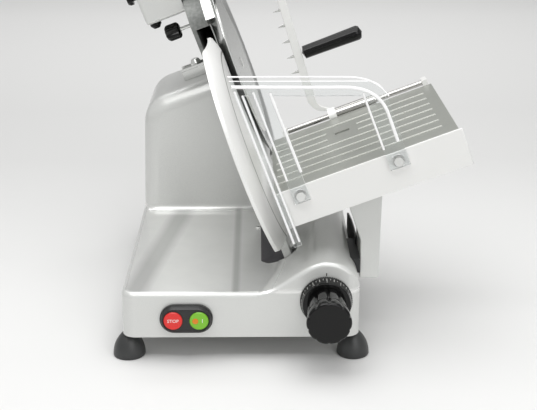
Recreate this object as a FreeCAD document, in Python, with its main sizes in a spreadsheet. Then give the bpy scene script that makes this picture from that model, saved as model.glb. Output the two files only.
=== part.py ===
import FreeCAD, Part
import math
import os
import re

import Sketcher
from FreeCAD import Placement, Rotation, Vector

# Gravity-feed meat slicer, in millimetres.  X runs to the right, Y away from the operator, Z up.
# The base is measured from its front face and its middle, with Z from the table it stands on.
# The slicing head leans to the left by "tilt".  Its own frame has X along the blade's axis, towards
# the food table, Y from the base's front face and Z up the blade; its origin lies in the cutting plane.

doc = FreeCAD.newDocument("MeatSlicer")
sheet = doc.addObject("Spreadsheet::Sheet", "sizes")

sizeGroups = {
    "base": {
        "halfWidth": 160, "deckRear": 15, "baseBottom": 35, "deckHeight": 99, "wall": 5,
        "cornerRadius": 18, "rimRadius": 8, "coverThick": 2, "coverGap": 0.3, "seam": 0.05,
    },
    "feet": {
        "footInset": 7, "footFront": 22, "footRadius": 22, "footNeck": 11.5, "footFlange": 3,
        "footHole": 4.3, "footScrew": 4, "footScrewHead": 7, "footScrewLength": 52, "bossRadius": 11,
    },
    "housing": {
        "housingFront": 333, "housingRear": 15, "housingStep": 1, "shoulderStep": 7,
        "housingTop": -5, "shoulderRadius": 48, "housingEdge": 25, "deckFillet": 10,
        "bracketBack": 59, "bracketLong": 53, "bracketTall": 15, "nutTall": 13,
    },
    "hump": {
        "humpIn": 46, "humpTop": 142, "humpFootFront": 22, "humpFootBack": 82,
        "humpBack": 452, "humpEdge": 6, "webThick": 8, "webBack": 434,
    },
    "head": {
        "tilt": 20.5, "bladeX": 1, "bladeZ": 334.5, "bladeY": 350, "bladeRadius": 150,
        "columnLeft": 48, "columnRight": 20, "columnInset": 24, "columnAhead": 62, "columnBehind": 124,
        "columnWall": 6, "columnRound": 45, "columnOpen": 150, "beltCover": 1.5, "tieReach": 24,
        "tieDown": 46, "tieSide": 10, "tieRod": 3, "tieKnob": 13, "tieKnobLong": 24, "tieKnobLobes": 6,
        "tieFlute": 5, "tieFluteDeep": 2.5, "headPost": 8, "headPostSide": 27, "headPostDeep": 26,
    },
    "drive": {
        "axleRadius": 10, "axleBoss": 22, "bearingOuter": 21, "bearingWidth": 8, "pulleyRadius": 60,
        "pulleyWidth": 16, "pulleyLeft": 38, "flangeRadius": 44, "bladeSeat": 15, "hubHole": 28.5,
        "motorY": 425, "motorZ": 150, "motorRadius": 50, "motorLength": 112, "motorShaft": 7,
        "motorPulley": 18, "motorFace": 34, "motorTail": 22, "motorBore": 30, "beltThick": 4,
        "beltWidth": 12, "grooves": 4, "groovePitch": 3, "runGap": 0.3, "fitGap": 0.05,
    },
    "blade": {
        "bladeThick": 3.5, "bladeRim": 32, "bladeEdge": 0.4, "coverInset": 6, "coverFace": 2,
        "coverDepth": 5, "ringGap": 3, "ringWidth": 15, "ringThick": 10, "ringFace": 2,
        "ringStart": -95, "ringBreak": 78, "ringAgain": 102, "ringEnd": 143, "lugOne": -58, "lugTwo": 0,
        "lugThree": 45, "lugFour": 104, "lugHalf": 4, "lugSheet": 3, "bladeScrewRing": 36,
        "deflectorStart": 150, "deflectorEnd": 235, "deflectorThick": 1.5,
    },
    "gauge": {
        "sliceMax": 18, "sliceRest": 8, "gaugeThick": 5, "gaugeClosed": 1, "gaugeTop": 76, "gaugeTip": 205,
        "gaugeFrontTop": 130, "gaugeFrontMid": 14, "gaugeFrontTip": 60, "gaugeGap": 2, "gaugeCorner": 9,
        "gaugeShoulder": 40,
        "lipWide": 30, "lipDrop": 14, "guideY": 132, "guideRadius": 7, "guideLength": 100,
        "guideLeft": 88, "lugThick": 8, "lugWidth": 26, "lugTall": 70, "carrierBoss": 14,
        "carrierLength": 20, "barHeight": 12, "barFront": 44, "barThick": 7, "pinRadius": 3,
        "postWidth": 28, "postThick": 11, "postTall": 122, "postLow": 262, "slotTall": 110, "slotGap": 2,
        "gaugeScrewHigh": 150, "gaugeScrewLow": 178, "gaugeScrewOff": 8, "gaugeScrew": 2.5,
    },
    "knob": {
        "knobZ": 88, "knobRadius": 30, "knobLength": 66, "knobCollar": 10, "dialRadius": 35,
        "dialThick": 8, "dialGap": 1, "shaftRadius": 6, "camRadius": 36, "camThick": 9,
        "camFront": 34, "camDepth": 5, "camInner": 12, "camTurn": 300, "camClearance": 0.25,
        "bushRadius": 10, "knobLobes": 10, "fluteRadius": 6, "fluteDepth": 2.4,
    },
    "switch": {
        "switchX": -72.7, "switchZ": 63.5, "bezelWidth": 71, "bezelHeight": 40, "bezelDepth": 9,
        "buttonPitch": 34.6, "buttonRadius": 12.6, "buttonHole": 13, "buttonProud": 2,
        "lampRadius": 4, "boxDepth": 30, "glandRadius": 8, "glandX": -110, "glandZ": 66,
        "canRadius": 16, "canLength": 74, "canX": -110, "canY": 180,
    },
    "carriage": {
        "slideIn": 35, "slideZ": 112, "slideRadius": 10, "blockRadius": 15, "blockFront": 62,
        "blockLength": 80, "bushWall": 2.5, "armWidth": 26, "armGap": 4, "armTop": 22,
        "carriageTravel": 250, "tableLeft": 4, "tableRight": 258, "tableFront": 25, "tableBack": 275,
        "tableLevel": 114, "tableThick": 4, "apronHeight": 51, "apronThick": 4, "apronRight": 262,
        "ribHeight": 1.2, "ribWidth": 3.4, "ribMargin": 17, "ribPitch": 29.5, "ribFirst": 60, "ribCount": 7,
    },
    "press": {
        "pressRod": 4, "pressY": 288, "pressZ": 112, "rodLeft": 28, "rodRight": 250, "sleeveLeft": 98,
        "sleeveLength": 74, "sleeveRadius": 9, "armLength": 230, "armElbow": 20, "armBar": 12, "armThick": 6,
        "handleLevel": -6, "handleLength": 94, "handleThin": 9.8, "handleThick": 11.2,
    },
    "guard": {
        "guardThick": 5, "guardY": 14, "guardLeft": 4, "guardTop": 50, "guardLow": 190, "railWidth": 11,
        "legOneLeft": 26, "legOneWidth": 22, "legTwoLeft": 158, "legTwoWidth": 27, "legEnd": 134,
        "barTall": 20, "guardCorner": 26,
    },
    "sharpener": {
        "capLeft": -113, "capRight": 22, "capDrop": 43, "capTall": 82, "capFront": 322, "capBack": 432,
        "capWall": 3, "capRound": 40, "capCorner": 5, "lockInset": 6, "stoneRadius": 21, "stoneThick": 8,
        "stoneLeft": 26, "stoneRight": 6, "pushRod": 4, "pushHead": 9, "mouthLeft": 58,
    },
}

# Sizes that follow from others, each as a sum.
sums = {
    "baseWidth": ["halfWidth", "halfWidth"],
    "humpRight": ["halfWidth"],
    "humpX": ["halfWidth", "-humpIn"],
    "knobX": ["humpX"],
    "slideX": ["halfWidth", "-slideIn"],
    "armOut": ["halfWidth", "armGap"],
    "housingFoot": ["halfWidth", "-housingStep"],
    "housingShoulder": ["halfWidth", "-shoulderStep"],
    "housingBack": ["motorY", "motorRadius", "wall", "housingRear"],
    "baseDepth": ["housingBack", "deckRear"],
    "columnRadius": ["bladeRadius", "-columnInset"],
    "columnFront": ["bladeY", "-columnAhead"],
    "tieUp": ["columnRadius", "-tieDown"],
    "columnBack": ["bladeY", "columnBehind"],
    "bladeDish": ["bladeRadius", "-bladeRim"],
    "coverRadius": ["bladeDish", "-coverInset"],
    "ringInner": ["bladeRadius", "ringGap"],
    "ringOuter": ["ringInner", "ringWidth"],
    "capLow": ["bladeRadius", "-capDrop"],
    "gaugeFace": ["gaugeClosed", "sliceRest"],
    "pinReach": ["camInner", "sliceRest"],
}

row = 0
aliases = []
for group, values in sizeGroups.items():
    for alias, number in values.items():
        row += 1
        sheet.set("A%d" % row, group + " " + alias)
        sheet.set("B%d" % row, str(number))
        sheet.setAlias("B%d" % row, alias)
        aliases.append(alias)
doc.recompute()


def size(alias):
    if alias[0] == "-":
        return -size(alias[1:])
    if alias in sums:
        return sum(size(part) for part in sums[alias])
    return float(sheet.get(alias))


def spelled(word):
    """A word of an expression as the sheet knows it."""
    if word[0] == "-":
        return "-1 * " + spelled(word[1:])
    if word in sums:
        return "(" + " + ".join(spelled(part) for part in sums[word]) + ")"
    return ("sizes." if word in aliases else "") + word


def bind(item, field, text):
    """Ties one field of an object to the sheet."""
    item.setExpression(field, re.sub(r"[a-z][A-Za-z]+", lambda word: spelled(word[0]), text))


tilt = math.radians(size("tilt"))
level = Placement()
head = Placement(Vector(size("bladeX"), 0, size("bladeZ")), Rotation(Vector(0, 1, 0), -size("tilt")))
turns = {
    "x": Rotation(Vector(0, 1, 0), 90),
    "-x": Rotation(Vector(0, 1, 0), -90),
    "y": Rotation(Vector(1, 0, 0), -90),
    "-y": Rotation(Vector(1, 0, 0), 90),
    "z": Rotation(),
}
nodes = []
far = 1000

# Places in the head's frame of points that are measured in the base's frame.
knobU = "((knobX - bladeX) * cos(tilt) + (knobZ - bladeZ) * sin(tilt))"
knobV = "((knobZ - bladeZ) * cos(tilt) - (knobX - bladeX) * sin(tilt))"


def node(label, pieces, frame):
    """One named sub-part, made of one or more solids."""
    part = doc.addObject("Part::Compound", label)
    part.Label = label
    part.Links = pieces
    part.Placement = frame
    nodes.append(part)
    return part


def place(item, corner, direction="z"):
    item.Placement = Placement(Vector(), turns[direction])
    for axis, text in zip("xyz", corner):
        bind(item, "Placement.Base." + axis, text)


def block(name, lengths, corner):
    item = doc.addObject("Part::Box", name)
    for field, text in zip(("Length", "Width", "Height"), lengths):
        bind(item, field, text)
    place(item, corner)
    return item


def rod(name, radius, length, start, direction):
    item = doc.addObject("Part::Cylinder", name)
    bind(item, "Radius", radius)
    bind(item, "Height", length)
    place(item, start, direction)
    return item


def fuse(name, pieces):
    item = doc.addObject("Part::MultiFuse", name)
    item.Shapes = pieces
    item.Refine = True
    return item


def cut(name, base, tools):
    item = doc.addObject("Part::Cut", name)
    item.Base = base
    item.Tool = tools[0] if len(tools) == 1 else fuse(name + "Tools", tools)
    return item


def group(name, pieces):
    item = doc.addObject("Part::Compound", name)
    item.Links = pieces
    return item


def shaped(name, shape):
    item = doc.addObject("Part::Feature", name)
    item.Shape = shape
    return item


def outline(body, role, points):
    """A closed sketch with straight sides, each corner tied to the sheet."""
    plane = [item for item in body.Origin.OriginFeatures if item.Role == role][0]
    sketch = body.newObject("Sketcher::SketchObject", body.Name + "Outline")
    sketch.AttachmentSupport = [(plane, "")]
    sketch.MapMode = "FlatFace"
    count = len(points)
    ring = [Vector(math.cos(2 * math.pi * k / count), math.sin(2 * math.pi * k / count), 0)
            for k in range(count)]
    for k in range(count):
        sketch.addGeometry(Part.LineSegment(ring[k], ring[(k + 1) % count]), False)
    for k in range(count):
        sketch.addConstraint(Sketcher.Constraint("Coincident", k, 2, (k + 1) % count, 1))
    for k, corner in enumerate(points):
        for kind, text in zip(("DistanceX", "DistanceY"), corner):
            index = sketch.addConstraint(Sketcher.Constraint(kind, -1, 1, k, 1, 1.0))
            bind(sketch, "Constraints[%d]" % index, text)
    return sketch


def turned(name, points, start, direction):
    """A turned piece: (radius, height) points revolved round the axis that leaves start."""
    body = doc.addObject("PartDesign::Body", name)
    sketch = outline(body, "XZ_Plane", points)
    turn = body.newObject("PartDesign::Revolution", name + "Turn")
    turn.Profile = sketch
    turn.ReferenceAxis = (sketch, ["V_Axis"])
    turn.Angle = 360
    place(body, start, direction)
    return body


def plate(name, role, points, thick, start):
    """A flat piece: an outline padded to both sides of start."""
    body = doc.addObject("PartDesign::Body", name)
    sketch = outline(body, role, points)
    pad = body.newObject("PartDesign::Pad", name + "Pad")
    pad.Profile = sketch
    pad.Midplane = True
    bind(pad, "Length", thick)
    place(body, start)
    return body


def ring(name, outer, inner, length, start, direction):
    points = [(inner, "0"), (outer, "0"), (outer, length), (inner, length)]
    return turned(name, points, start, direction)


# ---- base ----

def deckBlock(inset):
    width = size("baseWidth") - 2 * inset
    depth = size("baseDepth") - 2 * inset
    low = size("baseBottom") - (1 if inset else 0)
    high = size("deckHeight") - inset
    solid = Part.makeBox(width, depth, high - low, Vector(-width / 2, inset, low))
    upright = [edge for edge in solid.Edges if edge.BoundBox.ZLength > 1]
    solid = solid.makeFillet(size("cornerRadius") - 0.8 * inset, upright)
    if inset:
        return solid
    rim = [edge for edge in solid.Edges if edge.BoundBox.ZMin > high - 0.1]
    return solid.makeFillet(size("rimRadius"), rim)


def housingBlock(inset):
    """Left wall, shoulder, top along the blade's axis and a right side beside the column."""
    low = size("deckHeight") - 20
    slope = math.tan(tilt)
    top = head.multVec(Vector(-size("columnLeft") - inset, 0, size("housingTop") - inset))
    shoulderX = -size("housingShoulder") + inset
    shoulderZ = top.z - (top.x - shoulderX) * slope
    rightFoot = head.multVec(Vector(-size("columnLeft") - inset, 0, 0))
    rightX = rightFoot.x + (rightFoot.z - low) * slope
    front = size("housingFront") + (inset + size("housingEdge") * 0.4 if inset else 0)
    y = front
    corners = [
        Vector(-size("housingFoot") + inset, y, low),
        Vector(shoulderX, y, shoulderZ),
        Vector(top.x, y, top.z),
        Vector(rightX, y, low),
    ]
    face = Part.Face(Part.makePolygon(corners + corners[:1]))
    solid = face.extrude(Vector(0, size("housingBack") - inset - front, 0))
    shoulder = [e for e in solid.Edges if (e.CenterOfMass - corners[1]).cross(Vector(0, 1, 0)).Length < 0.1]
    solid = solid.makeFillet(size("shoulderRadius") - inset, shoulder)
    ends = [e for e in solid.Edges if e.BoundBox.YLength < 0.01 and e.BoundBox.ZMax > low + 1]
    front = [e for e in ends if e.BoundBox.YMin < y + 1 and e.CenterOfMass.x < rightFoot.x - 60]
    if inset:
        return solid
    return solid.makeFillet(size("housingEdge"), front)


def archWire(y, foot, top, right, inset):
    """An arch: a long soft flank on the left, a quarter ellipse on the right."""
    low = size("deckHeight") - inset
    peak = size("humpX")
    foot = foot + 2.2 * inset
    right = right - inset
    rise = top - inset - low
    points = []
    for step in range(7):
        share = step / 6
        points.append(Vector(foot + share * (peak - foot), y, low + rise * share * share * (3 - 2 * share)))
    for step in range(1, 6):
        turn = step / 5 * math.pi / 2
        points.append(Vector(peak + (right - peak) * math.sin(turn), y, low + rise * math.cos(turn)))
    curve = Part.BSplineCurve()
    curve.interpolate(points)
    under = low - 20
    legs = [points[-1], Vector(right, y, under), Vector(foot, y, under), points[0]]
    return Part.Wire([curve.toShape()] + [Part.makeLine(a, b) for a, b in zip(legs, legs[1:])])


def humpBlock(inset):
    front = inset
    back = size("humpBack") - inset
    foot = size("humpFootFront")
    drift = size("humpFootBack") - foot
    wires = []
    for share in (0, 0.3, 0.65, 1):
        y = front + share * (back - front)
        wires.append(archWire(y, foot + drift * math.sqrt(share), size("humpTop"), size("humpRight"),
                              inset))
    solid = Part.makeLoft(wires, True, False)
    if not inset:
        rim = [e for e in solid.Edges if e.BoundBox.YMax < 0.1 and e.BoundBox.ZMax > size("deckHeight") + 9]
        solid = solid.makeFillet(size("humpEdge"), rim)
    radius = size("cornerRadius") - 0.8 * inset
    centerX = size("humpRight") - inset - radius
    corner = Part.makeBox(radius * 2, radius * 2, size("humpTop"),
                          Vector(centerX, front - radius, size("baseBottom")))
    pillar = Part.makeCylinder(radius, size("humpTop"), Vector(centerX, front + radius, size("baseBottom")))
    return solid.cut(corner.cut(pillar))


def baseSolid(inset):
    solid = deckBlock(inset).fuse([housingBlock(inset), humpBlock(inset)])
    if inset:
        return solid
    solid = solid.removeSplitter()
    deck, front = size("deckHeight"), size("housingFront")
    foot = [edge for edge in solid.Edges if abs(edge.CenterOfMass.z - deck) < 0.1
            and edge.BoundBox.ZLength < 0.1
            and front - 1 < edge.BoundBox.YMax < front + size("housingEdge") + 1 and edge.CenterOfMass.x < 0]
    return solid.makeFillet(size("deckFillet"), foot)


def footPlaces():
    across = ("-baseWidth / 2 + footInset", "baseWidth / 2 - footInset")
    along = ("footFront", "baseDepth - footFront")
    return [(x, y) for y in along for x in across]


def makeBase():
    outside = baseSolid(0)
    shell = shaped("castShell", outside.cut(baseSolid(size("wall"))))
    bosses = []
    adds = []
    cuts = []
    for x, y in footPlaces():
        bosses.append(rod("footBoss", "bossRadius", "deckHeight - baseBottom - coverThick - wall / 2",
                          (x, y, "baseBottom + coverThick + seam"), "z"))
        cuts.append(rod("footTap", "footScrew + seam", "footScrewLength", (x, y, "0"), "z"))
    inside = doc.addObject("Part::Common", "bossesInside")
    inside.Base = shaped("castOutside", outside)
    inside.Tool = group("footBosses", bosses)
    adds.append(inside)
    for y in ("blockFront - webThick - 2", "webBack"):
        adds.append(block("slideWeb", ("46", "webThick", "slideZ + blockRadius - baseBottom - 9"),
                          ("slideX - 22", y, "baseBottom + 6")))
    cuts.append(rod("slideBore", "slideRadius + fitGap / 2",
                    "webBack + webThick - blockFront + webThick + 4",
                    ("slideX", "blockFront - webThick - 4", "slideZ"), "y"))
    cuts.append(rod("shaftBore", "bushRadius + fitGap / 2", "blockFront + 4", ("knobX", "-5", "knobZ"),
                    "y"))
    cuts.append(block("armSlot", ("40", "blockLength + carriageTravel + 16", "32"),
                      ("humpRight - 22", "blockFront - 2", "slideZ - blockRadius - 3")))
    cuts.append(block("switchHole", ("bezelWidth - 10", "wall * 3", "bezelHeight - 12"),
                      ("switchX - bezelWidth / 2 + 5", "-wall", "switchZ - bezelHeight / 2 + 6")))
    cuts.append(rod("glandHole", "8 + fitGap", "wall * 3", ("-110", "baseDepth - wall * 2", "66"), "y"))
    shell = cut("castBase", fuse("castBody", [shell] + adds), cuts)
    lugs = [shaped("guideLug", lug.common(outside)) for lug in guideLugs()]
    opening = shaped("headCuts", headCuts())
    shell = cut("castOpen", fuse("castLugged", [shell] + lugs), [opening])
    node("base_casting", [shell], level)


def knobInHead():
    """The knob's axis in the head's frame: a point across and up the blade."""
    return head.inverse().multVec(Vector(size("knobX"), 0, size("knobZ")))


def guideLugs():
    """Two ears that hang from the casting's roof and hold the gauge's guide rod."""
    low = knobInHead().z - size("lugWidth") / 2
    lugs = []
    thick, wide = size("lugThick"), size("lugWidth")
    for left in (-size("guideLeft"), size("guideLength") - size("guideLeft") - thick):
        lug = Part.makeBox(thick, wide, size("lugTall"), Vector(left, size("guideY") - wide / 2, low))
        bore = Part.makeCylinder(size("guideRadius") + size("fitGap") / 2, thick * 3,
                                 Vector(left - thick, size("guideY"), knobInHead().z), Vector(1, 0, 0))
        lug = lug.cut(bore)
        lug.Placement = head
        lugs.append(lug)
    return lugs


def headCuts():
    """Cuts that follow the head's frame: the slot for the gauge post and the belt's way through."""
    gap = size("slotGap")
    left = -size("gaugeClosed") - size("gaugeThick") - size("postThick") - size("sliceMax")
    slot = Part.makeBox(size("sliceMax") + size("postThick") + 2 * gap, size("postWidth") + 2 * gap,
                        size("slotTall"),
                        Vector(left - gap, size("guideY") - size("postWidth") / 2 - gap, -size("postLow")))
    way = Part.makeCylinder(size("motorPulley") + 12, 30, Vector(-size("columnLeft") - 20, size("motorY"),
                            -size("motorZ")), Vector(1, 0, 0))
    shape = Part.makeCompound([slot, way])
    shape.Placement = head
    return shape


def makeFeet():
    feet = []
    screws = []
    for x, y in footPlaces():
        slope = "(footRadius - footNeck)"
        profile = [("footRadius - 2.5", "0"), ("footRadius", "footFlange"),
                   ("footRadius", "baseBottom * 0.2"),
                   ("footRadius - 0.14 * " + slope, "baseBottom * 0.37"),
                   ("footRadius - 0.38 * " + slope, "baseBottom * 0.54"),
                   ("footRadius - 0.72 * " + slope, "baseBottom * 0.71"),
                   ("footNeck + 0.5", "baseBottom * 0.84"), ("footNeck", "baseBottom - seam"),
                   ("footHole", "baseBottom - seam"), ("footHole", "footFlange * 4"),
                   ("footScrewHead + 1", "footFlange * 4"), ("footScrewHead + 1", "0")]
        feet.append(turned("rubberFoot", profile, (x, y, "0"), "z"))
        screw = [("0", "footFlange * 4 - 5"), ("footScrewHead", "footFlange * 4 - 5"),
                 ("footScrewHead", "footFlange * 4 - seam"), ("footScrew", "footFlange * 4 - seam"),
                 ("footScrew", "footScrewLength - 2"), ("0", "footScrewLength - 2")]
        screws.append(turned("footScrewTurn", screw, (x, y, "0"), "z"))
    node("rubber_feet", feet, level)
    node("foot_screws", screws, level)


def makeBottomCover():
    lengths = ("baseWidth - 2 * wall - 2 * coverGap", "baseDepth - 2 * wall - 2 * coverGap", "coverThick")
    sheetMetal = block("coverSheet", lengths,
                       ("-baseWidth / 2 + wall + coverGap", "wall + coverGap", "baseBottom"))
    holes = [rod("coverHole", "footScrew + 0.5", "coverThick * 3", (x, y, "baseBottom - coverThick"), "z")
             for x, y in footPlaces()]
    corners = [block("coverCorner", ("cornerRadius * 0.8", "cornerRadius * 0.8", "coverThick * 3"),
                     (x, y, "baseBottom - coverThick"))
               for x in ("-baseWidth / 2 + wall", "baseWidth / 2 - wall - cornerRadius * 0.8")
               for y in ("wall", "baseDepth - wall - cornerRadius * 0.8")]
    node("bottom_cover", [cut("coverPlate", sheetMetal, holes + corners)], level)


def lobed(radius, length, lobes, flute, depth):
    """A lobed knob standing on its back face: a disc with round flutes down its side."""
    solid = Part.makeCylinder(radius, length)
    ends = [edge for edge in solid.Edges if isinstance(edge.Curve, Part.Circle)
            and edge.BoundBox.ZMin > length / 2]
    solid = solid.makeFillet(length / 9, ends)
    flutes = []
    for k in range(lobes):
        turn = 2 * math.pi * k / lobes
        reach = radius + flute - depth
        flutes.append(Part.makeCylinder(flute, length * 2,
                                        Vector(reach * math.cos(turn), reach * math.sin(turn), -1)))
    return solid.cut(flutes)


# ---- switch ----

def stadium(name, width, height, depth, y):
    """A plate with round ends, standing on the base's front face."""
    half = "(" + height + ") / 2"
    middle = block(name + "Middle", (width + " - (" + height + ")", depth, height),
                   ("switchX - (" + width + ") / 2 + " + half, y, "switchZ - " + half))
    ends = [rod(name + "End", half, depth,
                ("switchX " + sign + " ((" + width + ") / 2 - " + half + ")", y, "switchZ"), "y")
            for sign in "+-"]
    return fuse(name, [middle] + ends)


def makeSwitch():
    outer = stadium("bezelLow", "bezelWidth", "bezelHeight", "bezelDepth / 2", "-bezelDepth / 2")
    inner = stadium("bezelHigh", "bezelWidth - 7", "bezelHeight - 7", "bezelDepth / 2", "-bezelDepth")
    plug = block("bezelPlug", ("bezelWidth - 13", "wall + seam", "bezelHeight - 13"),
                 ("switchX - bezelWidth / 2 + 6.5", "0", "switchZ - bezelHeight / 2 + 6.5"))
    holes = [rod("buttonHole", "buttonHole", "bezelDepth * 4",
                 ("switchX " + sign + " buttonPitch / 2", "-bezelDepth * 2",
             "switchZ"), "y") for sign in "+-"]
    node("switch_bezel", [cut("bezel", fuse("bezelBody", [outer, inner, plug]), holes)], level)
    for label, sign in (("stop_button", "-"), ("start_button", "+")):
        x = "switchX " + sign + " buttonPitch / 2"
        cap = turned(label + "Cap", [
            ("0", "0"), ("buttonRadius", "0"), ("buttonRadius", "bezelDepth + buttonProud - 1"),
            ("buttonRadius - 1", "bezelDepth + buttonProud"), ("0", "bezelDepth + buttonProud"),
        ], (x, "0", "switchZ"), "-y")
        pieces = [cap]
        if label == "start_button":
            lampHole = rod("lampHole", "lampRadius + fitGap", "bezelDepth", (x + " - lampRadius * 1.2",
                           "-bezelDepth - buttonProud - 1", "switchZ"), "y")
            pieces = [cut("startCap", cap, [lampHole])]
            lamp = rod("lamp", "lampRadius", "bezelDepth - 2", (x + " - lampRadius * 1.2",
                       "-bezelDepth - buttonProud - 0.3", "switchZ"), "y")
            node("pilot_lamp", [lamp], level)
        node(label, pieces, level)
    body = block("switchBox", ("bezelWidth - 14", "boxDepth", "bezelHeight - 14"),
                 ("switchX - bezelWidth / 2 + 7", "wall + seam * 2", "switchZ - bezelHeight / 2 + 7"))
    node("switch_body", [body], level)
    node("cable_gland", [ring("gland", "glandRadius", "glandRadius / 2", "wall + 8",
                               ("glandX", "baseDepth - wall - 2", "glandZ"), "y")], level)
    node("capacitor", [rod("capacitorCan", "canRadius", "canLength",
                             ("canX", "canY", "baseBottom + coverThick + canRadius + 0.2"), "y")], level)


# ---- thickness knob and scroll cam ----

def camGroove():
    """The scroll: an even spiral, as wide as the follower pin, that pushes it outwards as the knob turns."""
    half = size("pinRadius") + size("camClearance")
    inner = size("camInner")
    sweep = math.radians(size("camTurn"))
    lead = size("sliceMax") / sweep
    first = -math.asin(half / inner) - math.radians(2)
    last = sweep + math.asin(half / (inner + size("sliceMax"))) + math.radians(2)
    steps = 40
    start = math.pi + tilt - sweep * size("sliceRest") / size("sliceMax")
    edges = []
    for side in (1, -1):
        points = []
        for k in range(steps + 1):
            turn = first + (last - first) * k / steps
            radius = inner + lead * turn + side * half
            points.append(Vector(radius * math.cos(start + turn), 0, radius * math.sin(start + turn)))
        curve = Part.BSplineCurve()
        curve.interpolate(points)
        edges.append((curve.toShape(), points))
    ends = [Part.makeLine(edges[0][1][k], edges[1][1][k]) for k in (0, -1)]
    wire = Part.Wire(Part.__sortEdges__([edges[0][0], ends[1], edges[1][0], ends[0]]))
    groove = Part.Face(wire).extrude(Vector(0, size("camDepth") + 1, 0))
    back = size("camFront") + size("camThick") - size("camDepth")
    groove.translate(Vector(size("knobX"), back, size("knobZ")))
    return groove


def makeKnob():
    center = ("knobX", "0", "knobZ")
    dial = turned("dialRing", [("shaftRadius + fitGap", "dialGap"), ("dialRadius", "dialGap"),
                               ("dialRadius - 1", "dialThick"), ("shaftRadius + fitGap",
                                                                 "dialThick")], center, "-y")
    node("index_dial", [dial], level)
    knob = lobed(size("knobRadius"), size("knobLength"), int(size("knobLobes")), size("fluteRadius"),
                 size("fluteDepth"))
    knob = knob.fuse(Part.makeCylinder(size("knobRadius") + 2, size("knobCollar"))).removeSplitter()
    knob = knob.cut(Part.makeCylinder(size("shaftRadius") + size("fitGap"), size("knobLength") - 12))
    knob = shaped("knobBody", knob)
    knob.Placement = Placement(Vector(size("knobX"), -size("dialThick") - size("seam"), size("knobZ")),
                               turns["-y"])
    node("thickness_knob", [knob], level)
    shaft = rod("shaftBar", "shaftRadius", "knobLength - 14 + dialThick + blockFront - 3",
                ("knobX", "14 - knobLength - dialThick", "knobZ"), "y")
    node("knob_shaft", [shaft], level)
    bushes = [ring("knobBush", "bushRadius", "shaftRadius + fitGap", length, ("knobX", start, "knobZ"), "y")
              for start, length in (("0.3", "wall + 3"), ("blockFront - webThick - 1.5", "webThick - 1"))]
    node("knob_bushes", bushes, level)
    disc = ring("camDisc", "camRadius", "shaftRadius + fitGap", "camThick",
                ("knobX", "camFront", "knobZ"), "y")
    node("scroll_cam", [cut("scroll", disc, [shaped("scrollGroove", camGroove())])], level)


# ---- gauge plate ----

def frontCircle():
    """The circle of the plate's front edge, through three points."""
    tip = Vector(0, size("gaugeFrontTip"), -size("gaugeTip"))
    middle = Vector(0, size("gaugeFrontMid"), (size("gaugeTop") - size("gaugeTip")) / 2)
    top = Vector(0, size("gaugeFrontTop"), size("gaugeTop"))
    return Part.Arc(tip, middle, top).toShape().Curve


def roundedCorner(circle, edge, radius, way):
    """An arc inside both the front circle and a level edge, from the level edge to the circle."""
    height = edge - way * radius
    reach = circle.Radius - radius
    centre = Vector(0, circle.Center.y - math.sqrt(reach ** 2 - (height - circle.Center.z) ** 2), height)
    outwards = (centre - circle.Center).normalize()
    upwards = Vector(0, 0, way)
    middle = (outwards + upwards).normalize()
    return [centre + direction * radius for direction in (upwards, middle, outwards)]


def gaugeOutline(circle):
    """The plate seen along the blade's axis: straight top and foot, a front arc, hollowed round the blade."""
    radius = size("bladeRadius") + size("gaugeGap")
    top, low = size("gaugeTop"), -size("gaugeTip")
    turn = math.radians(230)
    rearTop = Vector(0, size("bladeY") - math.sqrt(radius ** 2 - top ** 2), top)
    rearLow = Vector(0, size("bladeY") + radius * math.cos(turn), radius * math.sin(turn))
    rearMiddle = Vector(0, size("bladeY") - radius, 0)
    rearFoot = Vector(0, rearLow.y, low)
    topCorner = roundedCorner(circle, top, size("gaugeShoulder"), 1)
    lowCorner = roundedCorner(circle, low, size("gaugeCorner"), -1)
    front = Vector(0, circle.Center.y - circle.Radius, circle.Center.z)
    return Part.Wire([
        Part.makeLine(rearTop, topCorner[0]),
        Part.Arc(*topCorner).toShape(),
        Part.Arc(topCorner[2], front, lowCorner[2]).toShape(),
        Part.Arc(*reversed(lowCorner)).toShape(),
        Part.makeLine(lowCorner[0], rearFoot),
        Part.makeLine(rearFoot, rearLow),
        Part.Arc(rearLow, rearMiddle, rearTop).toShape(),
    ])


def dish(circle):
    """A disc about the front circle's axis, flat inside, with a rim that bends away from the food."""
    centre = circle.Center
    thick = size("gaugeThick")
    outer = circle.Radius + 1
    fold = circle.Radius - size("lipWide")
    drop = size("lipDrop")

    def at(radius, across):
        return Vector(across, centre.y, centre.z + radius)

    middle = (fold + outer) / 2
    face = [at(0, 0), at(fold, 0), at(middle, -drop * 0.34), at(outer, -drop)]
    back = [at(outer, -drop - thick), at(middle, -drop * 0.34 - thick), at(fold, -thick), at(0, -thick)]
    wire = Part.Wire([
        Part.makeLine(face[0], face[1]),
        Part.Arc(*face[1:]).toShape(),
        Part.makeLine(face[3], back[0]),
        Part.Arc(*back[:3]).toShape(),
        Part.makeLine(back[2], back[3]),
        Part.makeLine(back[3], face[0]),
    ])
    return Part.Face(wire).revolve(centre, Vector(1, 0, 0), 360)


def gaugeSolid():
    circle = frontCircle()
    slab = Part.Face(gaugeOutline(circle)).extrude(Vector(-size("gaugeThick") - size("lipDrop") - 1, 0, 0))
    slab.translate(Vector(0.5, 0, 0))
    solid = slab.common(dish(circle)).Solids[0]
    solid.translate(Vector(-size("gaugeFace"), 0, 0))
    return solid


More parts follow.
